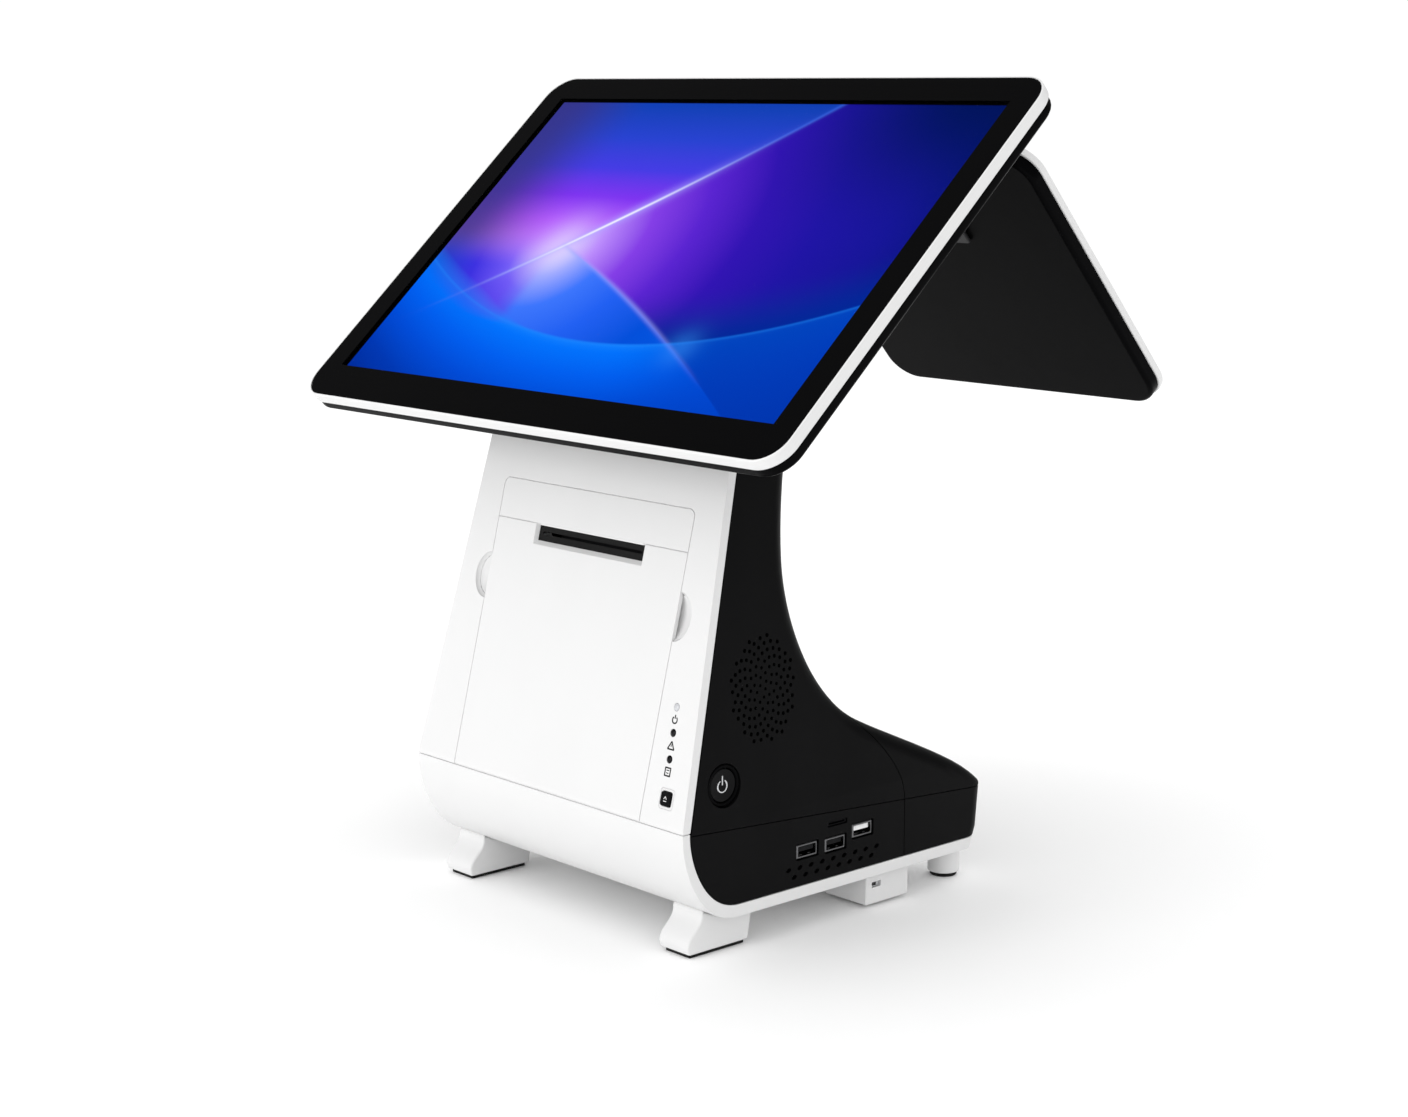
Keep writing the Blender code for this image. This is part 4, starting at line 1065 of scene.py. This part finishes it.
def lofted(size, *levels):
    """A solid skinned over round-cornered outlines, each an inset, a depth and a corner."""
    half, low, high, _ = size
    bm = bmesh.new()
    rings = []
    for inset, depth, corner in levels:
        outline = round_outline(half - inset, low + inset, high - inset, corner)
        verts = [bm.verts.new((x, depth, z)) for x, z in outline]
        rings.append([bm.edges.new(pair) for pair in zip(verts, verts[1:] + verts[:1])])
    for near, far in zip(rings, rings[1:]):
        bmesh.ops.bridge_loops(bm, edges=near + far)
    bmesh.ops.holes_fill(bm, edges=rings[0] + rings[-1])
    return outward(bm)


def main_display():
    ring = rounded_ring(MAIN_SIZE, 0.0, 6.5, 1.0, 3.3, 9.0, 0.7)
    white("display_rim", ring, "display_ring", body="main_display", place=MAIN)
    glass = closed_stack(MAIN_SIZE, 1.15, 3.0, False, (0, 2.7), *fillet(0.3, 3))
    piece("cover_glass", glass, MAIN_GLASS, "main_display", "black_glass", ("display_glass",), MAIN)
    outer = lofted(MAIN_SIZE, (0.9, 6.8, 16.1), (0.8, 7.0, 16.2), (0.8, 11.0, 16.2),
                   (1.1, 11.8, 15.9), (1.8, 12.6, 15.2), (3.2, 13.6, 14), (33.0, 26.3, 11),
                   (34.0, 26.8, 10), (35.2, 27.0, 9))
    room = lofted(MAIN_SIZE, (3.2, 5.0, 13.8), (3.2, 10.8, 13.8), (5.0, 11.6, 12),
                  (36.0, 24.6, 8))
    back = carve(outer, room)
    slots = bmesh.new()
    for row in range(4):
        for column in range(26):
            x = (column - 12.5) * 8.4
            slot = bmesh.ops.create_cube(slots, size=1.0)["verts"]
            bmesh.ops.scale(slots, verts=slot, vec=(2.0, 8.0, 8.0))
            bmesh.ops.translate(slots, verts=slot, vec=(x, 26, 44 + row * 11.0))
    back = carve(back, slots)
    black("display_shell", back, "display_back", look=PIANO, body="main_display", place=MAIN)
    refined("display_bracket", CASTING, "main_display", "dark_steel", 0.5)
    for number, (x, z) in enumerate(((-42, -18), (42, -18), (-42, 38), (42, 38)), 1):
        screw(f"display_screw_{number}", (x, 32.4, z - 45.0), MAIN, "main_display",
              f"bracket_screw_{number}")


def screw(name, at, place, body, node):
    """A pan head with a cross recess, facing back."""
    head = [(0, 1.75), (1.2, 1.7), (2.2, 1.45), (2.8, 1.0), (3.0, 0.5), (3.0, 0.02), (0, 0.02)]
    bm = turned(head, "-Y", (0, 0, 0), 32, close=False)
    for turn in (0, 90):
        arm = box((-1.6, -3, -0.3), (1.6, -0.8, 0.3))
        bm = carve(bm, moved(arm, Matrix.Rotation(radians(turn), 4, "Y")))
    around = set_at(at[0], at[1] - 1.8, at[2]) @ HALF_TURN
    piece(name, moved(bm, around), STEEL, body, "steel", (node,), place)


def customer_display():
    back = closed_stack(REAR_SIZE, 0.8, 7.3, False, (0.2, 4.7), *fillet(2.6, 6))
    room = closed_stack(REAR_SIZE, 3.2, 9.0, False, (0, 5.4), (2.8, 1.4))
    back = carve(back, room)
    black("customer_shell", back, "rear_display_back", look=PIANO, body="customer_display",
          place=REAR)
    turn = set_at(0, 19.6, 0) @ HALF_TURN
    ring = rounded_ring(REAR_SIZE, 7.6, 12.0, 1.0, 2.6, 7.0, 0.7)
    white("customer_rim", moved(ring, turn), "rear_display_ring", body="customer_display",
          place=REAR)
    glass = closed_stack(REAR_SIZE, 1.15, 9.7, True, (0, 1.9), *fillet(0.3, 3))
    piece("customer_glass", glass, REAR_GLASS, "customer_display", "black_glass",
          ("rear_display_glass",), REAR)
    refined("rear_bracket", CASTING, "customer_display", "dark_steel", 0.4)


def refined(node, look, body, slot, width):
    """A smoother copy of a frame piece: merged, with rounded edges."""
    bm = bmesh.new()
    bm.from_mesh(nodes[node].data)
    bm.transform(Matrix.Scale(1000, 4))
    merge(bm, 0.01)
    soften(bm, width, 2, angle=45)
    piece(node + "_casting", bm, look, body, slot, (node,), MM)


def stand():
    refined("hinge_stand", CASTING, "base", "dark_steel", 0.6)
    refined("rear_arm", CASTING, "base", "aluminium", 1.2)


# Display pictures and glass

def planes(place, sign, lean, face):
    """Of a display: the direction up it in Y and Z and how far along that its middle is, then
    the direction into it and how far along that the front of its picture is."""
    up = (sign * sin(lean), cos(lean))
    into = (sign * cos(lean), -sin(lean))
    middle = place @ Vector((0, 0, 0))
    front = place @ Vector((0, face, 0))
    return up, middle.y * up[0] + middle.z * up[1], into, front.y * into[0] + front.z * into[1]


main_planes = planes(MAIN, 1, MAIN_LEAN, 3.6)
rear_planes = planes(REAR, -1, REAR_LEAN, 9.2)
MAIN_GLASS = glossy_border("black_cover_glass", MAIN_ACTIVE, *main_planes[:2])
REAR_GLASS = glossy_border("customer_cover_glass", REAR_ACTIVE, *rear_planes[:2])
MAIN_PICTURE = wallpaper("main_picture", *main_planes, 107.7)
REAR_PICTURE = wallpaper("customer_picture", *rear_planes, 80.0, across=-1)


def kept_pieces():
    """Frame pieces that show as they are, in better finishes."""
    for look, names in ((MAIN_PICTURE, "display_lcd"), (REAR_PICTURE, "rear_display_lcd"),
                        (CASTING, "printer_frame print_head tear_bar"), (PAPER, "paper_roll"),
                        (GEAR, "roll_core platen_gear"), (RUBBER, "platen_roller"),
                        (STEEL, "door_pin_r door_pin_l hinge_shaft rear_shaft"),
                        (BLACK, "speaker_driver"), (BOARD, "mainboard")):
        for name in names.split():
            for slot in nodes[name].material_slots:
                slot.material = look


# Floor, light and camera

ROOM_LIGHT = 1.03
ROOM_GLINT = 0.14
FLOOR_HALF = 30.0
LIGHTS = (("key", (-0.5, -2.4, 0.75), (0, -0.1, 0.12), 1.2, 17.0),
          ("fill", (2.0, -1.6, 1.1), (0, 0, 0.1), 1.4, 4.5),
          ("back", (-0.6, 1.9, 1.5), (0, 0.05, 0.1), 1.2, 8.0))
VIEW_TURN = 0.8292010860
VIEW_RISE = 0.1824656494
VIEW_DISTANCE = 1.2679743
LENS_MM = 65.378


def studio():
    """A pale floor, three soft lights, and a white room that glossy faces see dimmed."""
    bm = bmesh.new()
    bmesh.ops.create_grid(bm, x_segments=1, y_segments=1, size=FLOOR_HALF)
    floor = shown("floor", into_mesh(bm, "floor"))
    floor.data.materials.append(Finish("pale_floor", (0.99, 0.99, 0.99), 0.9, 0.0).material)
    world = bpy.data.worlds.new("studio")
    bpy.context.scene.world = world
    world.use_nodes = True
    room = Graph(world.node_tree)
    background = room.tree.nodes["Background"].inputs
    glossy, seen = (room.node("ShaderNodeLightPath", {}, out=name)
                    for name in ("Is Glossy Ray", "Is Camera Ray"))
    room.plug(background["Color"], (1, 1, 1, 1))
    room.plug(background["Strength"],
              (glossy * (ROOM_GLINT - ROOM_LIGHT) + ROOM_LIGHT).math("MAXIMUM", seen))
    for name, at, target, size, power in LIGHTS:
        data = bpy.data.lights.new(name, "AREA")
        data.size = size
        data.energy = power
        lamp = shown(name, data)
        lamp.location = at
        lamp.rotation_euler = (Vector(target) - Vector(at)).to_track_quat("-Z", "Y").to_euler()
    bpy.context.scene.view_settings.view_transform = "Standard"


def camera():
    """Three-quarter view from the operator's right, a little above."""
    back = Vector((sin(VIEW_TURN) * cos(VIEW_RISE), -cos(VIEW_TURN) * cos(VIEW_RISE),
                   sin(VIEW_RISE)))
    target = SHIFT @ Vector((0.0865678, 0.0, 0.2))
    data = bpy.data.cameras.new("camera")
    data.sensor_width = 36.0
    data.lens = LENS_MM
    made = shown("camera", data)
    made.location = target + back * VIEW_DISTANCE
    made.rotation_euler = back.to_track_quat("Z", "Y").to_euler()
    bpy.context.scene.camera = made


for make in (front_face, tray, upper_cover, skirts, black_seams, door_and_panel, feet, power_key,
             front_controls, sockets, main_display, customer_display, stand, kept_pieces):
    make()
studio()
camera()
